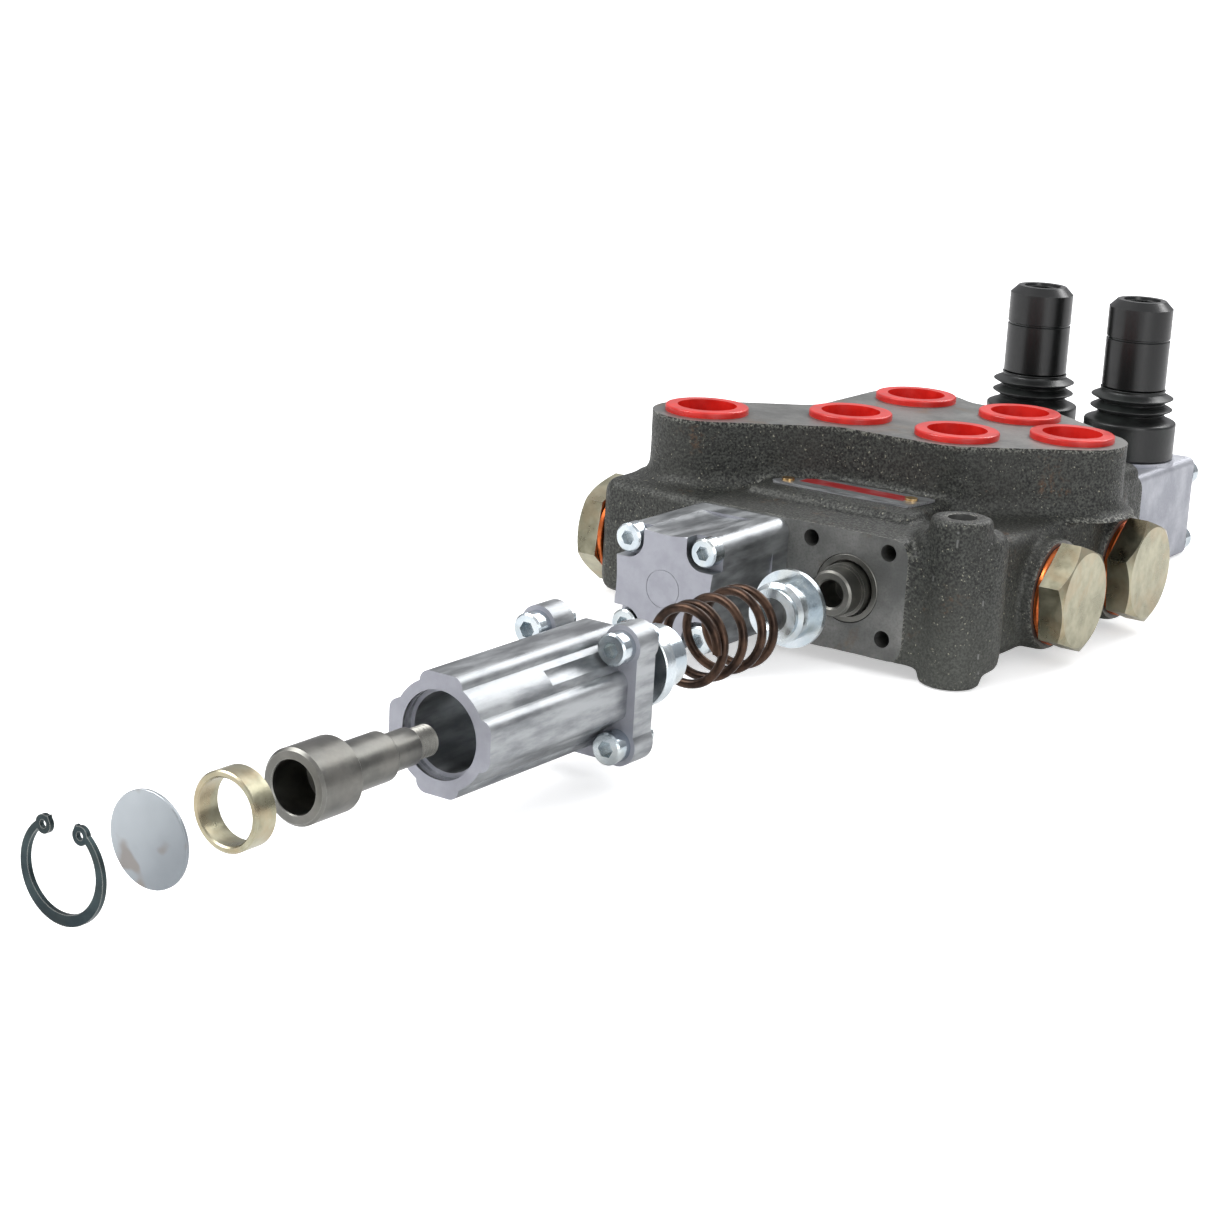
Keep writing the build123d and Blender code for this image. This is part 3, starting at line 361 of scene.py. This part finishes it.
def plate_print():
    """Nameplate: brushed aluminium with a plain, slightly faded red band along its middle."""
    g = Graph("nameplate")
    low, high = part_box("nameplate")
    depth = high.y - low.y
    grain = g.noise(0.15 * MM, 2, 0.5, g.stretched(0.04, 1, 1))
    colour = g.mix(g.ramp(grain, 0.35, 0.65), rgb(150, 152, 155), rgb(204, 206, 208))
    y = g.axis(g.place, "Y")
    x = g.axis(g.place, "X")
    band = g.maths("MULTIPLY", g.ramp(y, low.y + 0.30 * depth, low.y + 0.33 * depth),
                   g.ramp(y, low.y + 0.76 * depth, low.y + 0.79 * depth, 1, 0))
    band = g.maths("MULTIPLY", band, g.ramp(x, low.x + 7 * MM, low.x + 7.5 * MM))
    band = g.maths("MULTIPLY", band, g.ramp(x, high.x - 6.5 * MM, high.x - 6 * MM, 1, 0))
    worn = g.ramp(g.noise(5 * MM, 4, 0.65), 0.42, 0.66, 1, 0.86)
    colour = g.mix(g.maths("MULTIPLY", band, worn), colour, rgb(150, 26, 28))
    rough = g.ramp(grain, 0.3, 0.7, 0.28, 0.42)
    g.set(Base_Color=colour, Metallic=g.between(band, 0.9, 0.2), Roughness=rough)
    g.bump(grain, 0.01 * MM)
    return g.material


def blued_disc():
    """Cover disc: bluish grey plate with painted shade darkening it towards one side, and a few brownish
    finger marks.
    """
    g = Graph("blued_disc")
    low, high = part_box("cover_disc")
    # painted shade: the disc grows darker from its upper left towards its lower right
    across = g.maths("SUBTRACT", g.axis(g.place, "X"), g.axis(g.place, "Z"))
    shade = g.ramp(across, low.x - high.z, high.x - low.z)
    colour = g.mix(shade, rgb(178, 184, 188), rgb(130, 136, 141))
    smudge = g.ramp(g.noise(5 * MM, 2, 0.5), 0.58, 0.68, 0, 0.5)
    colour = g.mix(smudge, colour, rgb(122, 104, 86))
    g.set(Base_Color=colour, Metallic=0.8, Roughness=g.ramp(g.noise(3 * MM), 0.3, 0.7, 0.36, 0.48))
    g.bump(g.noise(0.3 * MM, 2), 0.01 * MM)
    return g.material


def pale_floor():
    """White sweep: a little light of its own for the camera alone keeps the far floor from turning grey."""
    g = Graph("floor")
    seen = g.add("ShaderNodeLightPath").outputs["Is Camera Ray"]
    g.set(Base_Color=(0.93, 0.93, 0.93, 1), Roughness=0.6, Emission_Color=(1, 1, 1, 1),
          Emission_Strength=g.maths("MULTIPLY", seen, 0.5))
    g.bump(g.noise(4 * MM), 0.02 * MM)
    return g.material


MATERIALS = {
    "cast_body": cast_iron(),
    "red_plastic": red_plastic(),
    "ground_steel": plated("ground_steel", rgb(106, 106, 102), rgb(126, 125, 120),
        rgb(112, 104, 94), 0.08, 0.36),
    "zinc_steel": plated("zinc_steel", rgb(176, 187, 194), rgb(212, 220, 224),
        rgb(196, 190, 168), 0.25, 0.20),
    "yellow_zinc": plated("yellow_zinc", rgb(150, 147, 124), rgb(184, 180, 156),
        rgb(178, 152, 118), 0.35, 0.30),
    "black_steel": plated("black_steel", rgb(44, 54, 58), rgb(64, 76, 78), rgb(50, 50, 44), 0.3, 0.38),
    "brass_rivet": plated("brass_rivet", rgb(190, 150, 96), rgb(220, 186, 130), rgb(160, 116, 70), 0.3, 0.3),
    "diecast": die_cast(),
    "box_aluminium": sand_cast_aluminium(),
    "boot_rubber": black_rubber(),
    "seal_rubber": black_rubber(),
    "black_plastic": black_sleeve(),
    "copper": copper(),
    "spring_steel": spring_wire(),
    "aluminium_plate": plate_print(),
}
NODE_MATERIALS = {"cover_disc": blued_disc()}
MACHINED = machined_iron()


# ---------------------------------------------------------------- CAD nodes
def dress_cad_nodes():
    """Gives each CAD node the material of its slot."""
    for part in frame["record"]["subparts"]:
        node = NODES[part["node"]]
        node.data.materials.clear()
        material = NODE_MATERIALS.get(part["node"], MATERIALS[part["material_slot"]])
        node.data.materials.append(material)


# ---------------------------------------------------------------- mesh helpers
def piece_from(mesh, name):
    """A new object in the scene from a bmesh, which is freed."""
    data = bpy.data.meshes.new(name)
    mesh.to_mesh(data)
    mesh.free()
    piece = bpy.data.objects.new(name, data)
    bpy.context.scene.collection.objects.link(piece)
    return piece


def settle(piece):
    """Applies the piece's modifiers to its mesh."""
    depsgraph = bpy.context.evaluated_depsgraph_get()
    data = bpy.data.meshes.new_from_object(piece.evaluated_get(depsgraph))
    piece.modifiers.clear()
    piece.data = data
    return piece


def add_block(mesh, low, high):
    """Adds a closed block between two corners to a bmesh."""
    centre = (Vector(low) + Vector(high)) / 2
    size = Vector(high) - Vector(low)
    matrix = Matrix.Translation(centre) @ Matrix.Diagonal((*size, 1))
    bmesh.ops.create_cube(mesh, size=1, matrix=matrix)


def add_turned(mesh, axis, centre, profile, segments=64):
    """Adds a closed turned solid to a bmesh: profile is a list of (radius, place along axis)."""
    letters = {"x": (1, 2, 0), "y": (2, 0, 1), "z": (0, 1, 2)}[axis]

    def point(radius, along, turn):
        spot = [0, 0, 0]
        spot[letters[0]] = centre[letters[0]] + radius * math.cos(turn)
        spot[letters[1]] = centre[letters[1]] + radius * math.sin(turn)
        spot[letters[2]] = along
        return spot

    rings = []
    for radius, along in profile:
        turns = [2 * math.pi * step / segments for step in range(segments)]
        rings.append([mesh.verts.new(point(radius, along, turn)) for turn in turns])
    for lower, upper in zip(rings, rings[1:]):
        for step in range(segments):
            following = (step + 1) % segments
            mesh.faces.new((lower[step], lower[following], upper[following], upper[step]))
    mesh.faces.new(rings[0][::-1])
    mesh.faces.new(rings[-1])


# ---------------------------------------------------------------- casting
FACE_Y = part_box("short_end_cap")[1].y                # machined front face
RIGHT_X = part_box("relief_plug")[1].x - 9.8 * MM      # faces under the hexagon plugs' washers
LEFT_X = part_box("tank_plug")[0].x + 9.8 * MM
GALLERY_Z = middle("relief_plug").z
SIDE_PLUGS = [(1, RIGHT_X, middle("relief_plug").y), (1, RIGHT_X, middle("check_plug").y),
              (-1, LEFT_X, middle("tank_plug").y)]
BOLT_HOLES = [mount for mount in frame["record"]["mounts"] if mount["name"].startswith("bolt_hole")]
SPOOL_BORE_R, RECESS_R, RECESS_DEPTH = 8.0 * MM, 10.5 * MM, 2.2 * MM
SCREW_GRID, TAPPED_R, TAPPED_DEPTH = 13.05 * MM, 2.55 * MM, 13 * MM
PORT_LEAD_R, PORT_LEAD_DEPTH, PORT_BORE_R, PORT_DEPTH = 10.9 * MM, 8 * MM, 10 * MM, 22 * MM
SIDE_HOLE_R, SIDE_HOLE_DEPTH = 11.1 * MM, 15 * MM
REAR_SCREW_Z = (4.5 * MM, -19.5 * MM)
REAR_HALF_W = 45 * MM
RIGHT_SPAN, LEFT_SPAN = (-50 * MM, 42 * MM), (-82 * MM, -24 * MM)    # along Y from the middle
SPOOL_BORE_DEPTH = 40 * MM
OVERFILL = 0.9 * MM           # how far the filling of a hole goes past its wall
VOXEL = 0.8 * MM


def hole_solids(mesh, grow):
    """Adds the holes of the casting to a bmesh as solids, grown outwards and past the faces by grow."""
    over = 1 * MM + grow
    for x in SPOOL_X:
        centre = (x, 0, 0)
        for face, side in ((FACE_Y, 1), (REAR_Y, -1)):
            depth = face + side * (RECESS_DEPTH + grow)
            bore_end = depth + side * SPOOL_BORE_DEPTH
            add_turned(mesh, "y", centre, [(RECESS_R + grow, face - side * over), (RECESS_R + grow, depth),
                                           (SPOOL_BORE_R + grow, depth), (SPOOL_BORE_R + grow, bore_end)])
            for across in (-SCREW_GRID, SCREW_GRID):
                for z in ((-SCREW_GRID, SCREW_GRID) if side > 0 else REAR_SCREW_Z):
                    hole = [(TAPPED_R + grow, face - side * over),
                            (TAPPED_R + grow, face + side * TAPPED_DEPTH)]
                    add_turned(mesh, "y", (x + across, 0, z), hole, 32)
    for place in PORTS.values():
        lead = PORT_Z - PORT_LEAD_DEPTH
        add_turned(mesh, "z", place, [(PORT_LEAD_R + grow, PORT_Z + over), (PORT_LEAD_R + grow, lead),
                                      (PORT_BORE_R + grow, lead), (PORT_BORE_R + grow, PORT_Z - PORT_DEPTH)])
    for side, face, y in SIDE_PLUGS:
        hole = [(SIDE_HOLE_R + grow, face + side * over),
                (SIDE_HOLE_R + grow, face - side * SIDE_HOLE_DEPTH)]
        add_turned(mesh, "x", (0, y, GALLERY_Z), hole)
    for mount in BOLT_HOLES:
        place, radius = Vector(mount["pos_m"]), mount["dims"]["r_mm"] * MM + grow
        half = mount["dims"]["length_mm"] * MM / 2 + (0 if grow else over)
        add_turned(mesh, "z", place, [(radius, place.z - half), (radius, place.z + half)], 48)
    bmesh.ops.recalc_face_normals(mesh, faces=mesh.faces)


def cut_faces():
    """The machined planes of the casting: a point on each, its outward direction and its box."""
    reach, low, high = 9 * MM, Vector(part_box("valve_body")[0]), Vector(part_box("valve_body")[1])
    pad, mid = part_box("short_end_cap"), BODY_CENTRE
    planes = [(Vector((0, 0, PORT_Z)), Vector((0, 0, 1)), (low.x, low.y, PORT_Z),
               (high.x, high.y, PORT_Z + reach)),
              (Vector((0, FACE_Y, 0)), Vector((0, -1, 0)), (pad[0].x - 6 * MM, FACE_Y - reach, low.z),
               (2 * mid.x - pad[0].x + 3.2 * MM, FACE_Y, 24 * MM)),
              (Vector((0, REAR_Y, 0)), Vector((0, 1, 0)), (mid.x - REAR_HALF_W, REAR_Y, low.z - MM),
               (mid.x + REAR_HALF_W, REAR_Y + reach, 20 * MM)),
              (Vector((RIGHT_X, 0, 0)), Vector((1, 0, 0)), (RIGHT_X, mid.y + RIGHT_SPAN[0], low.z),
               (RIGHT_X + reach, mid.y + RIGHT_SPAN[1], 13.5 * MM)),
              (Vector((LEFT_X, 0, 0)), Vector((-1, 0, 0)), (LEFT_X - reach, mid.y + LEFT_SPAN[0], low.z),
               (LEFT_X, mid.y + LEFT_SPAN[1], 22 * MM))]
    return planes


CUT_FACES = cut_faces()


def grown_faces(source, plane_point, outward, low, high, grow):
    """A closed block that stands on those faces of the source that lie in one plane, inside a box."""
    mesh = bmesh.new()
    mesh.from_mesh(source)
    slack = 0.05 * MM

    def is_far(face):
        middle_point = face.calc_center_median()
        if face.normal.dot(outward) < 0.99 or abs((middle_point - plane_point).dot(outward)) > slack:
            return True
        return any(not low[i] - slack <= middle_point[i] <= high[i] + slack for i in range(3))

    far = [face for face in mesh.faces if is_far(face)]
    bmesh.ops.delete(mesh, geom=far, context="FACES")
    bmesh.ops.remove_doubles(mesh, verts=mesh.verts, dist=0.001 * MM)
    base = list(mesh.verts)
    lifted = bmesh.ops.extrude_face_region(mesh, geom=mesh.faces[:], use_keep_orig=True)["geom"]
    raised = [v for v in lifted if isinstance(v, bmesh.types.BMVert)]
    bmesh.ops.translate(mesh, verts=raised, vec=outward * grow)
    bmesh.ops.translate(mesh, verts=base, vec=outward * -1.5 * MM)
    bmesh.ops.recalc_face_normals(mesh, faces=mesh.faces)
    return mesh


def cast_blank(source):
    """The casting before machining: its solid with every hole filled and every cut face grown out."""
    grow = 5 * MM
    blank = bmesh.new()
    blank.from_mesh(source)
    hole_solids(blank, OVERFILL)
    for plane_point, outward, low, high in CUT_FACES:
        part = grown_faces(source, plane_point, outward, low, high, grow)
        data = bpy.data.meshes.new("part")
        part.to_mesh(data)
        part.free()
        blank.from_mesh(data)
    fill = grow - 1 * MM

    def plug(axis, centre, radius, face, segments=64):
        add_turned(blank, axis, centre, [(radius, face - fill), (radius, face + fill)], segments)

    for x in SPOOL_X:
        plug("y", (x, 0, 0), RECESS_R + OVERFILL, FACE_Y)
        plug("y", (x, 0, 0), RECESS_R + OVERFILL, REAR_Y)
        for across in (-SCREW_GRID, SCREW_GRID):
            for z in (-SCREW_GRID, SCREW_GRID):
                plug("y", (x + across, 0, z), TAPPED_R + 0.85 * MM, FACE_Y, 24)
            for z in REAR_SCREW_Z:
                plug("y", (x + across, 0, z), TAPPED_R + 0.85 * MM, REAR_Y, 24)
    for place in PORTS.values():
        plug("z", place, PORT_LEAD_R + OVERFILL, PORT_Z)
    for side, face, y in SIDE_PLUGS:
        plug("x", (0, y, GALLERY_Z), SIDE_HOLE_R + OVERFILL, face)
    bmesh.ops.recalc_face_normals(blank, faces=blank.faces)
    return piece_from(blank, "casting_skin")


def keep_largest(piece):
    """Drops every closed shell inside the piece and keeps the outside one."""
    mesh = bmesh.new()
    mesh.from_mesh(piece.data)
    mesh.verts.ensure_lookup_table()
    seen, best = set(), []
    for seed in mesh.verts:
        if seed.index in seen:
            continue
        shell, queue = [], [seed]
        seen.add(seed.index)
        while queue:
            vert = queue.pop()
            shell.append(vert)
            for edge in vert.link_edges:
                other = edge.other_vert(vert)
                if other.index not in seen:
                    seen.add(other.index)
                    queue.append(other)
        if len(shell) > len(best):
            best = shell
    keep = set(best)
    bmesh.ops.delete(mesh, geom=[v for v in mesh.verts if v not in keep], context="VERTS")
    mesh.to_mesh(piece.data)
    mesh.free()


def is_machined(centre, normal):
    """Whether a face of the casting was cut after casting."""
    tiny = 0.02 * MM
    for point, outward, _, _ in CUT_FACES:
        if abs((centre - point).dot(outward)) < tiny and normal.dot(outward) > 0.9:
            return True
    for x in SPOOL_X:
        if math.hypot(centre.x - x, centre.z) < RECESS_R + tiny and FACE_Y < centre.y < REAR_Y:
            return True
        for across in (-SCREW_GRID, SCREW_GRID):
            for z in (-SCREW_GRID, SCREW_GRID):
                near = math.hypot(centre.x - x - across, centre.z - z) < TAPPED_R + tiny
                if near and centre.y < FACE_Y + TAPPED_DEPTH + tiny:
                    return True
    for place in PORTS.values():
        if math.hypot(centre.x - place.x, centre.y - place.y) < PORT_LEAD_R + tiny:
            return centre.z > PORT_Z - PORT_DEPTH - tiny
    for mount in BOLT_HOLES:
        x, y, _ = mount["pos_m"]
        if math.hypot(centre.x - x, centre.y - y) < mount["dims"]["r_mm"] * MM + tiny:
            return True
    return False


def casting_skin():
    """The visible casting: cast corners worn round by the sand, then the faces and holes cut in."""
    skin = cast_blank(NODES["valve_body"].data)
    remesh = skin.modifiers.new("remesh", "REMESH")
    remesh.mode = "VOXEL"
    remesh.voxel_size = VOXEL
    settle(skin)
    keep_largest(skin)
    soften = skin.modifiers.new("soften", "SMOOTH")
    soften.factor = 0.5
    soften.iterations = 22
    uneven = bpy.data.textures.new("uneven", "CLOUDS")
    uneven.noise_scale = 7 * MM
    sand = skin.modifiers.new("uneven", "DISPLACE")
    sand.texture = uneven
    sand.strength = 0.35 * MM
    settle(skin)
    slabs = bmesh.new()
    for _, _, low, high in CUT_FACES:
        add_block(slabs, low, high)
    holes = bmesh.new()
    hole_solids(holes, 0)
    for name, mesh in (("slabs", slabs), ("holes", holes)):
        cutter = piece_from(mesh, name)
        cut = skin.modifiers.new(name, "BOOLEAN")
        cut.operation = "DIFFERENCE"
        cut.solver = "MANIFOLD"
        cut.object = cutter
        settle(skin)
        bpy.data.objects.remove(cutter)
    mesh = skin.data
    mesh.materials.clear()
    mesh.materials.append(MATERIALS["cast_body"])
    mesh.materials.append(MACHINED)
    for face in mesh.polygons:
        face.material_index = 1 if is_machined(face.center, face.normal) else 0
    mesh.shade_smooth()
    mesh.set_sharp_from_angle(angle=EDGE_SHARP)
    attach(skin, "root")
    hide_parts("valve_body")
    return skin


# ---------------------------------------------------------------- Blender pieces
def lathe(name, profile, centre, segments=96):
    """A turned piece about a vertical line; the profile is a list of (radius, height) in metres."""
    mesh = bmesh.new()
    rings = []
    for radius, height in profile:
        ring = []
        for step in range(segments):
            turn = 2 * math.pi * step / segments
            x, y = centre.x + radius * math.cos(turn), centre.y + radius * math.sin(turn)
            ring.append(mesh.verts.new((x, y, height)))
        rings.append(ring)
    for lower, upper in zip(rings, rings[1:] + rings[:1]):
        for step in range(segments):
            following = (step + 1) % segments
            mesh.faces.new((lower[step], lower[following], upper[following], upper[step]))
    bmesh.ops.recalc_face_normals(mesh, faces=mesh.faces)
    data = bpy.data.meshes.new(name)
    mesh.to_mesh(data)
    mesh.free()
    data.shade_smooth()
    piece = bpy.data.objects.new(name, data)
    bpy.context.scene.collection.objects.link(piece)
    return piece


def smooth_profile(points, steps=4):
    """Points along a smooth curve (Catmull-Rom) through a list of (radius, height)."""
    def between(a, b, c, d, t):
        bend, twist = 2 * a - 5 * b + 4 * c - d, 3 * b - a - 3 * c + d
        return 0.5 * ((2 * b) + (c - a) * t + bend * t * t + twist * t ** 3)

    out = []
    for index in range(len(points) - 1):
        before = points[max(index - 1, 0)]
        start, end = points[index], points[index + 1]
        after = points[min(index + 2, len(points) - 1)]
        for step in range(steps):
            t = step / steps
            out.append(tuple(between(a, b, c, d, t) for a, b, c, d in zip(before, start, end, after)))
    return out + [points[-1]]


def boot(number):
    """Rubber boot: a round skirt on the lever box and a bellows of two folds up to the sleeve."""
    skirt, wall, top = 15.9 * MM, 1.3 * MM, SLEEVE_BOTTOM - 0.1 * MM
    base = BOX_TOP + 0.03 * MM
    neck = 11.3 * MM
    fold = 14.2 * MM
    rise = top - base
    shoulder = base + 0.527 * rise
    outside = [(skirt - 0.4 * MM, base), (skirt, base + 0.6 * MM), (skirt, base + 2 * MM),
               (skirt, shoulder - 2 * MM), (skirt, shoulder - 0.5 * MM),
               (skirt - 0.5 * MM, shoulder + 0.3 * MM), (neck + 1.4 * MM, shoulder + 0.06 * rise),
               (neck + 0.2 * MM, shoulder + 0.10 * rise)]
    for ring in range(2):
        foot = shoulder + (0.12 + 0.165 * ring) * rise
        outside += [(neck, foot), (fold - 0.4 * MM, foot + 0.055 * rise), (fold, foot + 0.07 * rise),
                    (fold - 0.4 * MM, foot + 0.085 * rise), (neck, foot + 0.14 * rise)]
    outside.append((neck, top))
    inside = [(radius - wall, height) for radius, height in reversed(outside[1:])]
    profile = smooth_profile(outside) + inside + [(skirt - wall, base)]
    piece = lathe(f"boot_skin_{number}", profile, middle(f"lever_boot_{number}"))
    piece.data.materials.append(MATERIALS["boot_rubber"])
    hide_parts(f"lever_boot_{number}")
    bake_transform(piece)
    return piece


SPRING_WIRE_R, SPRING_TURNS = 1.3 * MM, 4.4
SPRING_CLOSED = 0.9                                  # turns that lie closed at each end


def spring():
    """The drawn-out spring: closed ends ground flat, and open coils between them."""
    low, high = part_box("centring_spring")
    centre = middle("centring_spring")
    radius = (high.x - low.x) / 2 - SPRING_WIRE_R
    length = high.y - low.y
    travel = length - 0.8 * SPRING_WIRE_R * 2
    closed_pitch = 2 * SPRING_WIRE_R
    open_pitch = (travel - 2 * SPRING_CLOSED * closed_pitch) / (SPRING_TURNS - 2 * SPRING_CLOSED)
    steps, sides = int(SPRING_TURNS * 56), 16
    mesh = bmesh.new()
    along = low.y + 0.4 * closed_pitch
    rings = []
    for step in range(steps + 1):
        turn = SPRING_TURNS * step / steps
        angle = 2 * math.pi * turn
        ring = []
        for side in range(sides):
            round_wire = 2 * math.pi * side / sides
            out = radius + SPRING_WIRE_R * math.cos(round_wire)
            y = along + SPRING_WIRE_R * math.sin(round_wire)
            y = min(max(y, low.y + 0.05 * MM), high.y - 0.05 * MM)
            x, z = centre.x + out * math.cos(angle), centre.z + out * math.sin(angle)
            ring.append(mesh.verts.new((x, y, z)))
        rings.append(ring)
        in_end = turn < SPRING_CLOSED or turn >= SPRING_TURNS - SPRING_CLOSED
        along += (closed_pitch if in_end else open_pitch) * SPRING_TURNS / steps
    for first, second in zip(rings, rings[1:]):
        for side in range(sides):
            following = (side + 1) % sides
            mesh.faces.new((first[side], first[following], second[following], second[side]))
    mesh.faces.new(rings[0][::-1])
    mesh.faces.new(rings[-1])
    bmesh.ops.recalc_face_normals(mesh, faces=mesh.faces)
    piece = piece_from(mesh, "spring_coil")
    piece.data.materials.append(MATERIALS["spring_steel"])
    piece.data.shade_smooth()
    piece.data.set_sharp_from_angle(angle=EDGE_SHARP)
    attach(piece, "spring_body")
    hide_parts("centring_spring")
    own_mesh(piece)
    return piece


# ---------------------------------------------------------------- stage, light and camera
def area_light(name, place, aim, width, height, power):
    """A soft rectangular lamp that faces a point."""
    light = bpy.data.lights.new(name, "AREA")
    light.shape = "RECTANGLE"
    light.size, light.size_y = width, height
    light.energy = power
    lamp = bpy.data.objects.new(name, light)
    lamp.location = place
    lamp.rotation_euler = (Vector(aim) - Vector(place)).to_track_quat("-Z", "Y").to_euler()
    bpy.context.scene.collection.objects.link(lamp)


def studio():
    """A white sweep: pale floor, white surroundings for the camera and a graded room for reflections."""
    low, high = CAD_BOX
    aim = (Vector(low) + Vector(high)) / 2
    area_light("key", aim + Vector((-0.55, -0.55, 0.85)), aim, 0.7, 0.5, 10)
    area_light("fill", aim + Vector((0.9, -0.5, 0.35)), aim, 0.5, 0.7, 3.5)
    area_light("back", aim + Vector((0.1, 0.9, 0.7)), aim, 0.9, 0.3, 6)
    floor = bpy.data.meshes.new("floor")
    half = 6.0
    corners = [(-half, -half, 0), (half, -half, 0), (half, half, 0), (-half, half, 0)]
    floor.from_pydata(corners, [], [(0, 1, 2, 3)])
    ground = bpy.data.objects.new("floor", floor)
    ground.location = (0, 0, FOOT_Z - 0.05 * MM)
    floor.materials.append(pale_floor())
    bpy.context.scene.collection.objects.link(ground)
    world = bpy.data.worlds.new("studio")
    world.use_nodes = True
    tree = world.node_tree
    tree.nodes.clear()
    output = tree.nodes.new("ShaderNodeOutputWorld")
    seen = tree.nodes.new("ShaderNodeBackground")
    seen.inputs["Color"].default_value = (1, 1, 1, 1)
    room = tree.nodes.new("ShaderNodeBackground")
    sky = tree.nodes.new("ShaderNodeValToRGB")
    sky.color_ramp.elements[0].position = 0.35
    sky.color_ramp.elements[0].color = (0.10, 0.10, 0.11, 1)
    sky.color_ramp.elements[1].position = 0.85
    sky.color_ramp.elements[1].color = (0.8, 0.8, 0.82, 1)
    place = tree.nodes.new("ShaderNodeTexCoord")
    split = tree.nodes.new("ShaderNodeSeparateXYZ")
    lift = tree.nodes.new("ShaderNodeMapRange")
    lift.inputs["From Min"].default_value = -1
    tree.links.new(place.outputs["Generated"], split.inputs[0])
    tree.links.new(split.outputs["Z"], lift.inputs["Value"])
    tree.links.new(lift.outputs["Result"], sky.inputs["Fac"])
    tree.links.new(sky.outputs["Color"], room.inputs["Color"])
    path = tree.nodes.new("ShaderNodeLightPath")
    choose = tree.nodes.new("ShaderNodeMixShader")
    tree.links.new(path.outputs["Is Camera Ray"], choose.inputs["Fac"])
    tree.links.new(room.outputs[0], choose.inputs[1])
    tree.links.new(seen.outputs[0], choose.inputs[2])
    tree.links.new(choose.outputs[0], output.inputs["Surface"])
    bpy.context.scene.world = world
    bpy.context.scene.view_settings.view_transform = "Standard"


def camera():
    """Looks at the object as the photographer did: from the front right, a little above, slightly rolled."""
    place = BODY_CENTRE + Vector((397.148, -769.755, 201.771)) * MM
    right = Vector((0.81943, 0.57075, 0.05266))
    up = Vector((-0.19155, 0.18611, 0.96368))
    back = right.cross(up).normalized()
    data = bpy.data.cameras.new("camera")
    data.sensor_width = 36
    data.lens = 80.88
    data.clip_start = 0.01
    view = bpy.data.objects.new("camera", data)
    turn = Matrix((right, up, back)).transposed().to_4x4()
    view.matrix_world = Matrix.Translation(place) @ turn
    bpy.context.scene.collection.objects.link(view)
    bpy.context.scene.camera = view


dress_cad_nodes()
casting_skin()
for lever_number in (1, 2):
    boot(lever_number)
spring()
studio()
camera()
